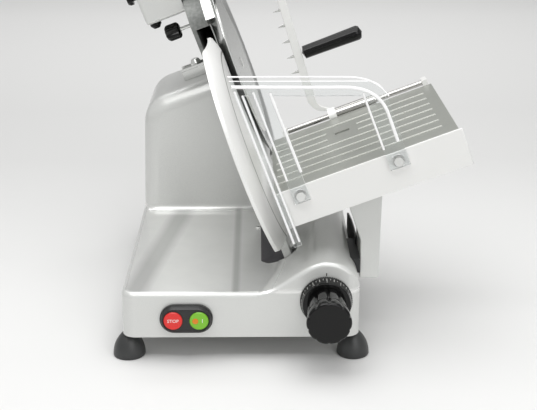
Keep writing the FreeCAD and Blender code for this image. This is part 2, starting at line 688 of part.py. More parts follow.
def makeGauge():
    solid = gaugeSolid()
    plateSolid = shaped("gaugeSheet", solid)
    solid = solid.copy()
    solid.translate(Vector(-size("seam"), 0, 0))
    plateRoom = shaped("gaugeRoom", solid)
    back = "(-gaugeFace - gaugeThick)"
    screws = []
    holes = []
    sits = [(y, z) for z in ("-gaugeScrewHigh", "-gaugeScrewLow")
            for y in ("guideY - gaugeScrewOff", "guideY + gaugeScrewOff")]
    for y, z in sits:
        holes.append(rod("gaugeHole", "gaugeScrew + 0.1", "gaugeThick + 2", (back + " - 1", y, z), "x"))
        screws.append(rod("gaugeScrew", "gaugeScrew", "gaugeThick + 8", (back + " - 8.2", y, z), "x"))
    node("gauge_plate", [cut("gaugeCut", plateSolid, holes)], head)
    node("gauge_screws", screws, head)
    left = "(" + back + " - seam)"
    upright = block("carrierPost", ("postThick", "postWidth", "postTall"),
                    (left + " - postThick", "guideY - postWidth / 2", "-postLow"))
    foot = rod("carrierBoss", "carrierBoss", "carrierLength + 8",
               (left + " - postThick - 8", "guideY", knobV), "x")
    arm = block("carrierSide", ("14", "guideY - barFront", "barHeight"),
                (left + " - postThick - 8", "barFront", knobV + " - barHeight / 2"))
    bar = block("carrierBar", ("0", "barThick", "barHeight"),
                (left + " - postThick - 8", "barFront", knobV + " - barHeight / 2"))
    bind(bar, "Length", knobU + " - pinReach + pinRadius + 0.5 - " + left + " + postThick + 8")
    pin = rod("carrierPin", "pinRadius", "barFront - camFront - camThick + camDepth - 0.5 + 1",
              (knobU + " - pinReach", "camFront + camThick - camDepth + 0.5", knobV), "y")
    bore = rod("guideBore", "guideRadius + fitGap", "guideLength * 2",
               ("-guideLength * 1.5", "guideY", knobV), "x")
    taps = [rod("gaugeTap", "gaugeScrew + fitGap", "9", (back + " - 9", y, z), "x") for y, z in sits]
    body = fuse("carrierBody", [upright, foot, arm, bar, pin])
    node("gauge_carrier", [cut("carrierCut", body, [bore, plateRoom] + taps)], head)
    guide = rod("guideBar", "guideRadius", "guideLength", ("-guideLeft", "guideY", knobV), "x")
    node("gauge_guide_rod", [guide], head)


# ---- drive and blade ----

def beltFace(big, small):
    """Two pulley circles and the two straight runs that touch both."""
    a = Vector(0, size("bladeY"), 0)
    b = Vector(0, size("motorY"), -size("motorZ"))
    along = b - a
    lean = math.acos((big - small) / along.Length)
    base = math.atan2(along.z, along.y)
    def at(center, radius, turn):
        return center + Vector(0, radius * math.cos(turn), radius * math.sin(turn))
    up, down = base + lean, base - lean
    edges = [
        Part.makeLine(at(a, big, up), at(b, small, up)),
        Part.Arc(at(b, small, up), at(b, small, base), at(b, small, down)).toShape(),
        Part.makeLine(at(b, small, down), at(a, big, down)),
        Part.Arc(at(a, big, down), at(a, big, base + math.pi), at(a, big, up)).toShape(),
    ]
    return Part.Face(Part.Wire(edges))


def region(name, frame):
    """A box larger than the slicer, as a tool that cuts along one of its sides."""
    item = doc.addObject("Part::Box", name)
    for field in ("Length", "Width", "Height"):
        setattr(item, field, far)
    item.Placement = frame
    return item


def belowDeck(name):
    """Everything under the deck, as a tool for cutting pieces of the head."""
    low = Placement(Vector(-far / 2, -far / 4, size("deckHeight") - far), Rotation())
    return region(name, head.inverse().multiply(low))


def post(name, left, wide, ahead, behind, top, radius):
    """The column's outline: an upright on the deck with a rounded top, wide along the blade's axis."""
    low = -size("bladeRadius") * 2
    solid = Part.makeBox(wide, behind - ahead, top - low, Vector(left, ahead, low))
    shoulders = [edge for edge in solid.Edges if edge.BoundBox.XLength > 0.1 and edge.BoundBox.ZMin > top
                 - 0.1]
    return shaped(name, solid.makeFillet(radius, shoulders))


def makeColumn():
    wall = size("columnWall")
    wide = size("columnLeft") - size("columnRight")
    front, back, top = size("columnFront"), size("columnBack"), size("columnRadius")
    outside = post("columnBody", -size("columnLeft"), wide, front, back, top, size("columnRound"))
    inside = post("columnRoom", wall - size("columnLeft"), wide, front + wall, back - wall, top - wall,
                  size("columnRound") - wall)
    mouth = block("columnMouth", ("columnLeft - columnRight", "columnWall * 3", "columnOpen"),
                  ("-columnLeft + columnWall", "columnFront - columnWall",
                   "columnRadius - columnRound - columnOpen"))
    shell = cut("columnShell", outside, [inside, mouth])
    adds = [rod("axleBossRod", "axleBoss", "columnWall + 3", ("-columnLeft", "bladeY", "0"), "x"),
            block("postSocket", ("columnLeft - columnRight", "30", "headPostDeep + 8"),
                  ("-columnLeft", "bladeY + headPostSide - 15", "columnRadius - headPostDeep - 8"))]
    holes = [rod("axleBore", "axleRadius + fitGap / 2", "columnWall * 4",
                 ("-columnLeft - 1", "bladeY", "0"), "x"),
             rod("shaftWay", "motorShaft + 5", "columnWall * 4", ("-columnLeft - 1", "motorY", "-motorZ"),
                 "x"),
             rod("tieWay", "tieRod + fitGap", "columnWall * 2", ("-columnLeft - 1", "bladeY + tieSide",
                 "tieUp"), "x"),
             rod("postWay", "headPost + fitGap", "headPostDeep + 4", ("-(columnLeft + columnRight) / 2",
                 "bladeY + headPostSide", "columnRadius - headPostDeep"), "z"),
             belowDeck("columnFoot")]
    node("blade_column", [cut("column", fuse("columnAll", [shell] + adds), holes)], head)
    lid = post("lidBody", -size("columnRight"), size("beltCover"), front, back, top, size("columnRound"))
    lidHole = rod("lidHole", "pulleyRadius + 1", "beltCover * 3",
                  ("-columnRight - beltCover", "bladeY", "0"), "x")
    node("belt_cover", [cut("lid", lid, [lidHole, belowDeck("lidFoot")])], head)


def makeDrive():
    hub = ("0", "bladeY", "0")
    axle = turned("axleTurn", [
        ("0", "-columnLeft + 0.2"), ("axleRadius", "-columnLeft + 0.2"), ("axleRadius", "-bladeSeat - 2"),
        ("6", "-bladeSeat - 2"), ("6", "-9"), ("0", "-9"),
    ], hub, "x")
    tap = rod("axleTap", "3 + fitGap", "20", ("-22", "bladeY", "0"), "x")
    node("blade_axle", [cut("axle", axle, [tap])], head)
    bearings = [ring("bearing", "bearingOuter", "axleRadius + fitGap", "bearingWidth",
                     (start, "bladeY", "0"), "x")
                for start in ("-pulleyLeft + 1.5", "-pulleyLeft + 4.5 + bearingWidth")]
    node("blade_bearings", bearings, head)
    rim = [("bearingOuter + fitGap", "-pulleyLeft"), ("pulleyRadius", "-pulleyLeft")]
    for k in range(int(size("grooves"))):
        for inset, across in (("0", "2.2"), ("2", "3.2"), ("0", "4.2")):
            rim.append(("pulleyRadius - " + inset, "-pulleyLeft + %s + %d * groovePitch" % (across, k)))
    rim += [("pulleyRadius", "-pulleyLeft + pulleyWidth"), ("flangeRadius", "-pulleyLeft + pulleyWidth"),
            ("flangeRadius", "-bladeSeat"), ("bearingOuter + fitGap", "-bladeSeat")]
    pulley = turned("pulleyTurn", rim, hub, "x")
    disc = turned("bladeTurn", [("hubHole", "-bladeSeat"), ("bladeDish - 2", "-bladeSeat"),
                                ("bladeRadius - 9", "-bladeEdge - 5"), ("bladeRadius",
                                                                        "-bladeEdge"), ("bladeRadius", "0"),
                                ("bladeRadius - 7", "-bladeEdge"), ("bladeDish", "-bladeSeat + bladeThick"),
                                ("hubHole", "-bladeSeat + bladeThick")], hub, "x")
    screws = []
    taps = []
    for k in range(4):
        y = "bladeY + bladeScrewRing * cos(45 + 90 * %d)" % k
        z = "bladeScrewRing * sin(45 + 90 * %d)" % k
        screws.append(turned("bladeScrew", [
            ("0", "-bladeSeat - 9"), ("3", "-bladeSeat - 9"), ("3", "-bladeSeat + 0.5"),
            ("5.4", "-bladeSeat + bladeThick - 0.1"), ("0", "-bladeSeat + bladeThick - 0.1"),
        ], ("0", y, z), "x"))
        taps.append(turned("bladeTap", [
            ("0", "-bladeSeat - 10"), ("3.05", "-bladeSeat - 10"), ("3.05", "-bladeSeat + 0.5"),
            ("5.5", "-bladeSeat + bladeThick"), ("5.5", "-bladeSeat + bladeThick + 1"),
            ("0", "-bladeSeat + bladeThick + 1"),
        ], ("0", y, z), "x"))
    node("blade_pulley", [cut("pulley", pulley, [group("pulleyTaps", taps)])], head)
    node("blade", [cut("bladeDisc", disc, [group("bladeTaps", taps)])], head)
    node("blade_screws", screws, head)
    cover = turned("coverTurn", [("3 + fitGap", "-8.9"), ("12", "-8.9"), ("12", "-coverFace - coverDepth"),
                                 ("coverRadius - 3", "-coverFace - coverDepth"), ("coverRadius",
                                                                                  "-coverFace - 2"),
                                 ("coverRadius - 2", "-coverFace"), ("3 + fitGap", "-coverFace")], hub, "x")
    node("blade_cover", [cover], head)
    button = turned("coverBolt", [("0", "-20"), ("3", "-20"), ("3", "-coverFace + seam"),
                                  ("9", "-coverFace + seam"),
                                  ("7", "-0.4"), ("0", "-0.2")], hub, "x")
    node("cover_screw", [button], head)
    wall = "(-columnLeft - wall - seam)"
    motor = turned("motorTurn", [("motorShaft + fitGap", wall), ("motorFace", wall),
                                 ("motorFace", wall + " - 6"),
                                 ("motorRadius", wall + " - 9"), ("motorRadius",
                                                                  wall + " - motorLength + motorTail"),
                                 ("motorRadius - 6", wall + " - motorLength"), ("0",
                                                                                wall + " - motorLength"),
                                 ("0", wall + " - motorBore"), ("motorShaft + fitGap",
                                                                wall + " - motorBore")],
                   ("0", "motorY", "-motorZ"), "x")
    node("motor", [motor], head)
    node("motor_shaft", [rod("motorBar", "motorShaft", "columnLeft + wall + motorBore - 27",
                             ("-columnLeft - wall - motorBore + 2",
                         "motorY", "-motorZ"), "x")], head)
    node("motor_pulley", [ring("motorWheel", "motorPulley", "motorShaft + fitGap / 2", "pulleyWidth - 2",
                               ("-pulleyLeft + 1", "motorY", "-motorZ"), "x")], head)
    gap = size("runGap")
    outer = beltFace(size("pulleyRadius") + gap + size("beltThick"),
                     size("motorPulley") + gap + size("beltThick"))
    inner = beltFace(size("pulleyRadius") + gap, size("motorPulley") + gap)
    belt = outer.cut(inner).extrude(Vector(size("beltWidth"), 0, 0))
    belt.translate(Vector(-size("pulleyLeft") + 2, 0, 0))
    node("drive_belt", [shaped("beltLoop", belt)], head)


def sector(inner, outer, start, end, left, right):
    """Part of a flat ring round the blade's axis."""
    solid = Part.makeCylinder(outer, right - left, Vector(left, size("bladeY"), 0), Vector(1, 0, 0),
                              end - start)
    solid = solid.cut(Part.makeCylinder(inner, right - left, Vector(left, size("bladeY"), 0),
                                        Vector(1, 0, 0)))
    solid = solid.Solids[0]
    middle = solid.CenterOfMass - Vector(0, size("bladeY"), 0)
    now = math.degrees(math.atan2(middle.z, middle.y))
    solid.rotate(Vector(0, size("bladeY"), 0), Vector(1, 0, 0), (start + end) / 2 - now)
    return solid


def makeHead():
    left = -size("ringFace") - size("ringThick")
    right = -size("ringFace")
    seat = -size("columnRight") + size("beltCover")
    pieces = []
    sheetBack = seat + size("lugSheet")
    half = size("lugHalf")
    front = (size("ringStart"), size("ringBreak"), [size("lugOne"), size("lugTwo"), size("lugThree")], left)
    back = (size("ringAgain"), size("ringEnd"), [size("lugFour")], sheetBack)
    for start, end, lugs, back in (front, back):
        arc = sector(size("ringInner"), size("ringOuter"), start, end, back, right)
        arms = [sector(size("columnRadius") - 9, size("ringOuter") - 4, lug - half, lug + half, seat,
                       sheetBack)
                for lug in lugs]
        arms += [sector(size("ringInner"), size("ringOuter") - 4, lug - half, lug + half, seat, left)
                 for lug in lugs]
        pieces.append(shaped("ringArc", arc.fuse(arms).removeSplitter()))
    node("guard_ring", pieces, head)
    deflector = sector(size("pulleyRadius") + 6, size("bladeRadius") - 4, size("deflectorStart"),
                       size("deflectorEnd"), seat, seat + size("deflectorThick"))
    node("slice_deflector", [shaped("deflectorSheet", deflector)], head)
    bracket = block("bracketBar", ("bracketLong", "28", "bracketTall"),
                    ("-columnLeft - seam - bracketLong", "housingFront + bracketBack", "housingTop"))
    node("top_bracket", [bracket], head)
    nut = turned("bracketNutTurn", [("0", "0"), ("9", "0"), ("9", "nutTall * 0.4"), ("6", "nutTall * 0.85"),
                                    ("0", "nutTall")],
                 ("-columnLeft - 27", "housingFront + bracketBack + 14", "housingTop + bracketTall"), "z")
    node("bracket_nut", [nut], head)
    reach = size("tieReach") + size("columnWall")
    knob = lobed(size("tieKnob"), size("tieKnobLong"), int(size("tieKnobLobes")), size("tieFlute"),
                 size("tieFluteDeep"))
    knob = knob.fuse(Part.makeCylinder(size("tieRod"), reach, Vector(0, 0, -reach)))
    knob = shaped("tieKnobBody", knob.removeSplitter())
    start = Vector(-size("columnLeft") - size("tieReach"), size("bladeY") + size("tieSide"), size("tieUp"))
    knob.Placement = Placement(start, turns["-x"])
    node("tie_knob", [knob], head)


# ---- sharpener ----

def makeSharpener():
    length = size("capRight") - size("capLeft")
    depth = size("capBack") - size("capFront")
    wall = size("capWall")
    cap = Part.makeBox(length, depth, size("capTall"),
                       Vector(size("capLeft"), size("capFront"), size("capLow")))
    ends = [edge for edge in cap.Edges if edge.BoundBox.YLength > 1
            and edge.BoundBox.XMax < size("capLeft") + 1]
    cap = cap.makeFillet(size("capRound"),
                         [edge for edge in ends if edge.BoundBox.ZMin > size("capLow") + 1])
    ends = [edge for edge in cap.Edges if edge.BoundBox.YLength > 1
            and edge.BoundBox.XMax < size("capLeft") + 1
            and edge.BoundBox.ZMax < size("capLow") + 1]
    cap = cap.makeFillet(size("capCorner"), ends)
    rim = [edge for edge in cap.Edges if edge.BoundBox.ZMax > size("capLow") + size("capTall") - 1
           and edge.BoundBox.XLength > 1]
    cap = cap.makeFillet(6, rim)
    room = Part.makeBox(length - 2 * wall, depth - 2 * wall, size("capTall") - 2 * wall,
                        Vector(size("capLeft") + wall, size("capFront") + wall, size("capLow") + wall))
    ends = [edge for edge in room.Edges if edge.BoundBox.YLength > 1
            and edge.BoundBox.XMax < size("capLeft") + wall + 1
            and edge.BoundBox.ZMin > size("capLow") + wall + 1]
    room = room.makeFillet(size("capRound") - wall, ends)
    mouth = Part.makeBox(size("capRight") - wall + size("mouthLeft"), depth - 2 * wall, wall + 2,
                         Vector(-size("mouthLeft"), size("capFront") + wall, size("capLow") - 1))
    columnNotch = Part.makeBox(size("columnLeft") - size("columnRight") + 5, depth + 2,
                               size("columnRadius") + 4 - size("capLow") + 1,
                               Vector(-size("columnLeft") - 2, size("capFront") - 1, size("capLow") - 1))
    ringNotch = Part.makeBox(size("columnRight") + 7, depth + 2, size("ringOuter") + 4 - size("capLow"),
                             Vector(-size("columnRight") - 2, size("capFront") - 1, size("capLow") - 1))
    bores = [Part.makeCylinder(size("pushRod") + size("fitGap"), 40,
                               Vector(x, size("bladeY"), size("bladeRadius")), Vector(1, 0, 0))
             for x in (size("capLeft") - 10, size("capRight") - 10)]
    node("sharpener_cover", [shaped("cap", cap.cut([room, mouth, columnNotch, ringNotch] + bores))], head)
    post = rod("postBar", "headPost", "capLow + capTall - capWall - columnRadius + headPostDeep - seam",
               ("-(columnLeft + columnRight) / 2", "bladeY + headPostSide", "columnRadius - headPostDeep"),
               "z")
    node("sharpener_post", [post], head)
    knob = turned("lockTurn", [("0", "0"), ("8", "0"), ("9", "2"), ("9", "10"), ("5", "15"), ("0", "15")],
                  ("capLeft + lockInset", "(capFront + capBack) / 2", "capLow - seam"), "z")
    knob.Placement = Placement(knob.Placement.Base, Rotation(Vector(1, 0, 0), 180))
    node("sharpener_lock_knob", [knob], head)
    spots = (("sharpening", "-stoneLeft + stoneThick - 1.5", "capLeft - 9", "-x", "-stoneLeft + 1"),
             ("deburring", "stoneRight + 0.5", "capRight + 6", "x", "stoneRight"))
    for label, tip, seat, way, stone in spots:
        long = "(" + (seat + " - (" + tip + ")" if way == "x" else tip + " - (" + seat + ")") + ")"
        tail = "-" + long
        push = turned(label + "Turn", [("0", tail), ("pushRod", tail), ("pushRod", "0"), ("pushHead", "0"),
                                        ("pushHead", "5"), ("pushHead - 2", "8"), ("0", "8")],
                      (seat, "bladeY", "bladeRadius"), way)
        node(label + "_button", [push], head)
        wheel = ring(label + "Wheel", "stoneRadius", "pushRod + fitGap", "stoneThick - 2",
                     (stone, "bladeY", "bladeRadius"), "x")
        node(label + "_stone", [wheel], head)


# ---- carriage and food table ----

def makeCarriage():
    slide = rod("slideBar", "slideRadius", "webBack - blockFront + 2 * webThick",
                ("slideX", "blockFront - webThick - 2",
                "slideZ"), "y")
    node("slide_rod", [slide], level)
    body = fuse("blockBody", [
        rod("blockTube", "blockRadius", "blockLength", ("slideX", "blockFront", "slideZ"), "y"),
        block("blockNeck", ("armOut - slideX", "blockLength", "20"),
              ("slideX", "blockFront", "slideZ - 10"))])
    bore = rod("blockBore", "slideRadius + bushWall + fitGap", "blockLength + 2",
               ("slideX", "blockFront - 1", "slideZ"), "y")
    node("carriage_block", [cut("block", body, [bore])], level)
    bushes = [ring("slideBush", "slideRadius + bushWall", "slideRadius + fitGap", "16",
                   ("slideX", start, "slideZ"), "y")
              for start in ("blockFront + 0.5", "blockFront + blockLength - 16.5")]
    node("slide_bushes", bushes, level)
    side = plate("armSide", "XZ_Plane", [("armOut", "slideZ - 20"), ("armOut + armWidth", "slideZ - 20"),
                                         ("armOut + armWidth + 3", "slideZ + 190"), ("armOut - armTop",
                                                                                     "slideZ + 190"),
                                         ("armOut - armTop", "slideZ + 100"), ("armOut", "slideZ + 36")],
                 "blockLength - 10", ("0", "blockFront + blockLength / 2", "0"))
    under = Placement(Vector(-far / 2, -far / 4, -size("tableLevel") - size("tableThick")), Rotation())
    above = region("armAbove", head.multiply(under))
    node("carriage_arm", [cut("arm", side, [above])], level)


def makeTable():
    wide = "tableRight - tableLeft"
    sheetMetal = block("tableSheet", (wide, "tableBack - tableFront", "tableThick"),
                       ("tableLeft", "tableFront", "-tableLevel - tableThick"))
    ribs = []
    for k in range(int(size("ribCount"))):
        y = "ribFirst + ribPitch * %d - ribWidth / 2" % k
        ribs.append(block("tableRib", (wide + " - ribMargin - 6", "ribWidth", "ribHeight"),
                          ("tableLeft + 6", y, "-tableLevel")))
    holes = [block("tableSlot", ("22", "9", "tableThick * 3"), (x, y, "-tableLevel - tableThick * 2"))
             for x, y in (("100", "190"), ("16", "207"))]
    clear = block("ribClear", ("46", "56", "ribHeight * 2"), ("88", "167", "-tableLevel"))
    node("food_table", [cut("tablePlate", fuse("tableBody", [sheetMetal] + ribs), holes + [clear])], head)
    apron = block("apronSheet", ("apronRight - tableLeft", "apronThick", "apronHeight"),
                  ("tableLeft", "tableFront - apronThick", "-tableLevel - apronHeight"))
    node("table_apron", [apron], head)


# ---- food press ----

def armSolid():
    """A flat bar that leaves the sleeve, bends upwards and runs straight to its top."""
    half = size("armBar") / 2
    elbow = Vector(size("sleeveLeft") - 17, 0, size("armElbow") - size("pressZ"))
    foot = Vector(size("sleeveLeft") + 6, 0, size("sleeveRadius") + 1 - size("pressZ"))
    top = Vector(size("sleeveLeft") - 4, 0, size("armLength") - size("pressZ"))
    low = (elbow - foot).normalize()
    high = (top - elbow).normalize()
    sideLow = Vector(-low.z, 0, low.x) * half
    sideHigh = Vector(-high.z, 0, high.x) * half
    bisect = (sideLow + sideHigh).normalize()
    reach = half / bisect.dot(sideLow.normalize())
    corners = [foot + sideLow, elbow + bisect * reach, top + sideHigh, top - sideHigh,
               elbow - bisect * reach, foot - sideLow]
    solid = Part.Face(Part.makePolygon(corners + corners[:1])).extrude(Vector(0, size("armThick"), 0))
    outer = [e for e in solid.Edges if (e.CenterOfMass - corners[1]).cross(Vector(0, 1, 0)).Length < 0.1]
    inner = [e for e in solid.Edges if (e.CenterOfMass - corners[4]).cross(Vector(0, 1, 0)).Length < 0.1]
    bends = sorted(((e, 26 if e.CenterOfMass.x < elbow.x else 14) for e in outer + inner),
                   key=lambda pair: pair[1])
    for edge, radius in bends:
        near = [e for e in solid.Edges if (e.CenterOfMass - edge.CenterOfMass).Length < 0.1]
        solid = solid.makeFillet(radius, near)
    solid.translate(Vector(0, size("pressY") - size("armThick") / 2, 0))
    return solid


def makePress():
    rodBar = rod("pressBar", "pressRod", "rodRight - rodLeft", ("rodLeft", "pressY", "-pressZ"), "x")
    node("press_rod", [rodBar], head)
    brackets = []
    for x in ("rodLeft - 4", "rodRight - 4"):
        lug = block("rodLug", ("8", "pressY + 6 - tableBack", "13"), (x, "tableBack", "-pressZ - 6.5"))
        bore = rod("rodLugBore", "pressRod + fitGap / 2", "rodRight - rodLeft",
                   ("rodLeft", "pressY", "-pressZ"), "x")
        brackets.append(cut("rodBracket", lug, [bore]))
    node("rod_brackets", brackets, head)
    bush = ring("pressBush", "pressRod + 2", "pressRod + fitGap", "sleeveLength",
                ("sleeveLeft", "pressY", "-pressZ"), "x")
    node("press_bush", [bush], head)
    sleeve = ring("pressSleeve", "sleeveRadius", "pressRod + 2 + fitGap", "sleeveLength",
                  ("sleeveLeft", "pressY", "-pressZ"), "x")
    node("press_sleeve", [sleeve], head)
    collar = ring("armCollar", "sleeveRadius + 3", "sleeveRadius + fitGap", "12",
                  ("sleeveLeft", "pressY", "-pressZ"), "x")
    bar = shaped("armBar", armSolid())
    node("press_arm", [fuse("arm", [collar, bar])], head)
    spikes = []
    for k in range(6):
        z = "-30 + 24 * %d" % k
        x = "sleeveLeft - 17 + (%s + pressZ - armElbow) * 13 / (armLength - armElbow) - armBar / 2 - 0.18" % z
        cone = doc.addObject("Part::Cone", "spike")
        bind(cone, "Radius1", "2.6")
        bind(cone, "Radius2", "0.4")
        bind(cone, "Height", "11")
        place(cone, (x, "pressY", z), "-x")
        spikes.append(cone)
    node("press_spikes", spikes, head)
    lean = "(handleLevel + handleThin + pressZ - armElbow) * 13 / (armLength - armElbow)"
    handle = turned("handleTurn", [
        ("0", "0"), ("handleThin - 2", "0"), ("handleThin", "2"), ("handleThick", "handleLength - 5"),
        ("handleThick - 4", "handleLength"), ("0", "handleLength"),
    ], ("sleeveLeft - 17 + " + lean + " + armBar / 2", "pressY", "handleLevel"), "x")
    node("press_handle", [handle], head)


# ---- clear hand guard ----

def guardFace(points):
    return Part.Face(Part.makePolygon([Vector(x, size("guardY"), z) for x, z in points + points[:1]]))


def makeGuard():
    left = size("guardLeft")
    top = size("guardTop")
    slope = math.tan(tilt)
    right = size("legTwoLeft") + size("legTwoWidth")
    def edgeAt(x, drop=0):
        return top - (x - left) * slope - drop
    outer = guardFace([(left, -size("guardLow")), (left, top), (right, edgeAt(right)),
                       (right, -size("legEnd")),
                       (left + 12, -size("legEnd")), (left + 12, -size("guardLow"))])
    solid = outer.extrude(Vector(0, size("guardThick"), 0))
    corner = [edge for edge in solid.Edges if edge.BoundBox.ZMin > edgeAt(right) - 1
              and edge.BoundBox.XMin > right - 1
              and edge.BoundBox.YLength > 1]
    solid = solid.makeFillet(size("guardCorner"), corner)
    bar = size("barTall")
    legOne = (size("legOneLeft"), size("legOneLeft") + size("legOneWidth"))
    windows = []
    for low, high in ((left + size("railWidth"), legOne[0]), (legOne[1], size("legTwoLeft"))):
        windows.append(guardFace([(low, -size("guardLow") - 5), (low, edgeAt(low, bar)),
                                  (high, edgeAt(high, bar)),
                                  (high, -size("guardLow") - 5)]).extrude(Vector(0, size("guardThick"), 0)))
    holes = []
    bosses = []
    screws = []
    back = size("tableFront") - size("apronThick")
    for x in (sum(legOne) / 2, size("legTwoLeft") + size("legTwoWidth") / 2):
        holes.append(Part.makeCylinder(3.1, 40, Vector(x, 0, -size("legEnd") + 9), Vector(0, 1, 0)))
        start = size("guardY") + size("guardThick")
        bosses.append(Part.makeCylinder(8, back - start, Vector(x, start, -size("legEnd") + 9),
                                        Vector(0, 1, 0)).cut(holes[-1]))
        screw = Part.makeCylinder(6, 3, Vector(x, size("guardY") - 3, -size("legEnd") + 9), Vector(0, 1, 0))
        screw = screw.fuse(Part.makeCylinder(3, back - size("guardY"),
                                             Vector(x, size("guardY"), -size("legEnd") + 9),
                           Vector(0, 1, 0)))
        screws.append(shaped("guardScrew", screw))
    sheetPiece = solid.cut(windows + holes).fuse(bosses).removeSplitter()
    node("hand_guard", [shaped("guardSheet", sheetPiece)], head)
    node("guard_screws", screws, head)


makeBase()
makeFeet()
makeBottomCover()
makeSwitch()
makeKnob()
makeGauge()
makeColumn()
makeDrive()
makeHead()
makeSharpener()
makeCarriage()
makeTable()
makePress()
makeGuard()

doc.recompute()
for item in doc.Objects:
    if "Invalid" in item.State or "Error" in item.State:
        raise RuntimeError("not built: " + item.Label)

# The origin is the middle of the whole slicer's footprint, on the table it stands on.
whole = Part.makeCompound([part.Shape for part in nodes]).optimalBoundingBox(False, False)
shift = Vector(-(whole.XMin + whole.XMax) / 2, -(whole.YMin + whole.YMax) / 2, -whole.ZMin)
for part in nodes:
    part.Placement = Placement(shift, Rotation()).multiply(part.Placement)
doc.recompute()

os.makedirs("parts", exist_ok=True)
for part in nodes:
    shape = part.Shape
    if shape.isNull() or not shape.isValid():
        raise RuntimeError("no valid shape: " + part.Label)
    if len(shape.Solids) == 1:
        shape = shape.Solids[0]
    shape.exportStep("parts/" + part.Label + ".step")
print("nodes", len(nodes), "shift", shift)
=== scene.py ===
import math

import bmesh
import bpy
import numpy as np
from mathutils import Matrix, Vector


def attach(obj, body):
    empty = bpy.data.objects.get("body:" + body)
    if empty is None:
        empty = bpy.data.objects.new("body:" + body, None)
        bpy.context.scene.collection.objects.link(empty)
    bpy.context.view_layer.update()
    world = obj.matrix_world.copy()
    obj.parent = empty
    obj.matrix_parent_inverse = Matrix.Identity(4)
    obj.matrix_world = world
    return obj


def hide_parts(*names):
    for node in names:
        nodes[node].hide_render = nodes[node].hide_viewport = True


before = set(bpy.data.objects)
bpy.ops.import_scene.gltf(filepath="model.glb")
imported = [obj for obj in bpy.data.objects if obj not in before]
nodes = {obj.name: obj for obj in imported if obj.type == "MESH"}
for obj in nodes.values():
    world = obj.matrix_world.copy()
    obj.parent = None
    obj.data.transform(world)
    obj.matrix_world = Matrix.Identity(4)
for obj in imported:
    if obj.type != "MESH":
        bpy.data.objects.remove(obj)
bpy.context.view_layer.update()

# Gravity-feed slicer, dressed for a studio picture. Lengths in the dictionaries are millimetres;
# the meshes are metres. "Head" places are across the blade (u), along the base (y), up the blade (v).

mm = 0.001
# the head's centre is measured from the base's; the table lies its drop below it, square to the blade
machine = {"tilt": 20.5, "baseMiddle": (-64.221, -221.975, 0.0), "headMiddle": (1.0, 0.0, 334.5),
           "bladeY": 350, "tableDrop": 114, "ribHeight": 1.2, "deckLevel": 99.0}
tilt = math.radians(machine["tilt"])
across = np.array([math.cos(tilt), 0, math.sin(tilt)])   # the blade's axis
upward = np.array([-math.sin(tilt), 0, math.cos(tilt)])  # up the blade
backward = np.array([0.0, 1.0, 0.0])
baseShift = np.array(machine["baseMiddle"])
headCentre = np.array(machine["headMiddle"]) + baseShift


# a point of the head: centre plus u along the blade's axis plus v up the blade, and y straight back
def atHead(u, y, v):
    u, y, v = np.broadcast_arrays(*[np.asarray(part, float) for part in (u, y, v)])
    place = headCentre + u[..., None] * across + v[..., None] * upward
    return place + y[..., None] * backward


# a point of the base: measured from its middle line, its front face and the table it stands on
def atBase(x, y, z):
    x, y, z = np.broadcast_arrays(*[np.asarray(part, float) for part in (x, y, z)])
    return np.stack([x, y, z], -1) + baseShift


# a grid of points becomes quads; rows or columns can close on themselves
def gridFaces(rows, columns, closeRows=False, closeColumns=False):
    down = np.arange(rows if closeRows else rows - 1)
    along = np.arange(columns if closeColumns else columns - 1)
    a, b = np.meshgrid(down, along, indexing="ij")
    c = (a + 1) % rows
    d = (b + 1) % columns
    corners = [a * columns + b, a * columns + d, c * columns + d, c * columns + b]
    return np.stack(corners, -1).reshape(-1, 4)


# points in millimetres and faces become a piece that rides on a body; edges sharper than crisp stay sharp
def meshPiece(name, points, faces, finish, body, smooth=True, crisp=None):
    mesh = bpy.data.meshes.new(name)
    points = np.asarray(points, float).reshape(-1, 3) * mm
    mesh.from_pydata(points.tolist(), [], np.asarray(faces).tolist())
    shape = bmesh.new()
    shape.from_mesh(mesh)
    bmesh.ops.remove_doubles(shape, verts=shape.verts, dist=1e-6)   # closes seams and poles
    bmesh.ops.recalc_face_normals(shape, faces=shape.faces)
    shape.to_mesh(mesh)
    shape.free()
    piece = bpy.data.objects.new(name, mesh)
    bpy.context.scene.collection.objects.link(piece)
    mesh.materials.append(finish)
    mesh.polygons.foreach_set("use_smooth", np.full(len(mesh.polygons), smooth))
    if crisp:
        mesh.set_sharp_from_angle(angle=math.radians(crisp))
    if body:
        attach(piece, body)
    return piece


# an axis of length one, and two directions at right angles to it, together a right-handed set
def sideways(axis):
    axis = np.asarray(axis, float) / np.linalg.norm(axis)
    start = np.array([0.0, 0.0, 1.0]) if abs(axis[2]) < 0.9 else np.array([1.0, 0.0, 0.0])
    one = start - axis * start.dot(axis)
    one /= np.linalg.norm(one)
    return axis, one, np.cross(axis, one)


# a turned shape: centre + height * axis + radius * (cos t * one + sin t * two);
# the radii are one for each height, or one for each height and angle
def turnedPiece(name, radii, heights, centre, axis, finish, body, columns, crisp):
    axis, one, two = sideways(axis)
    turn = np.linspace(0, 2 * math.pi, columns, endpoint=False)
    radii = np.asarray(radii, float)
    radii = radii if radii.ndim == 2 else np.repeat(radii[:, None], columns, 1)
    heights = np.repeat(np.asarray(heights, float)[:, None], columns, 1)
    around = np.cos(turn)[:, None] * one + np.sin(turn)[:, None] * two
    points = np.asarray(centre) + heights[..., None] * axis + radii[..., None] * around
    faces = gridFaces(len(radii), columns, closeColumns=True)
    return meshPiece(name, points, faces, finish, body, crisp=crisp)


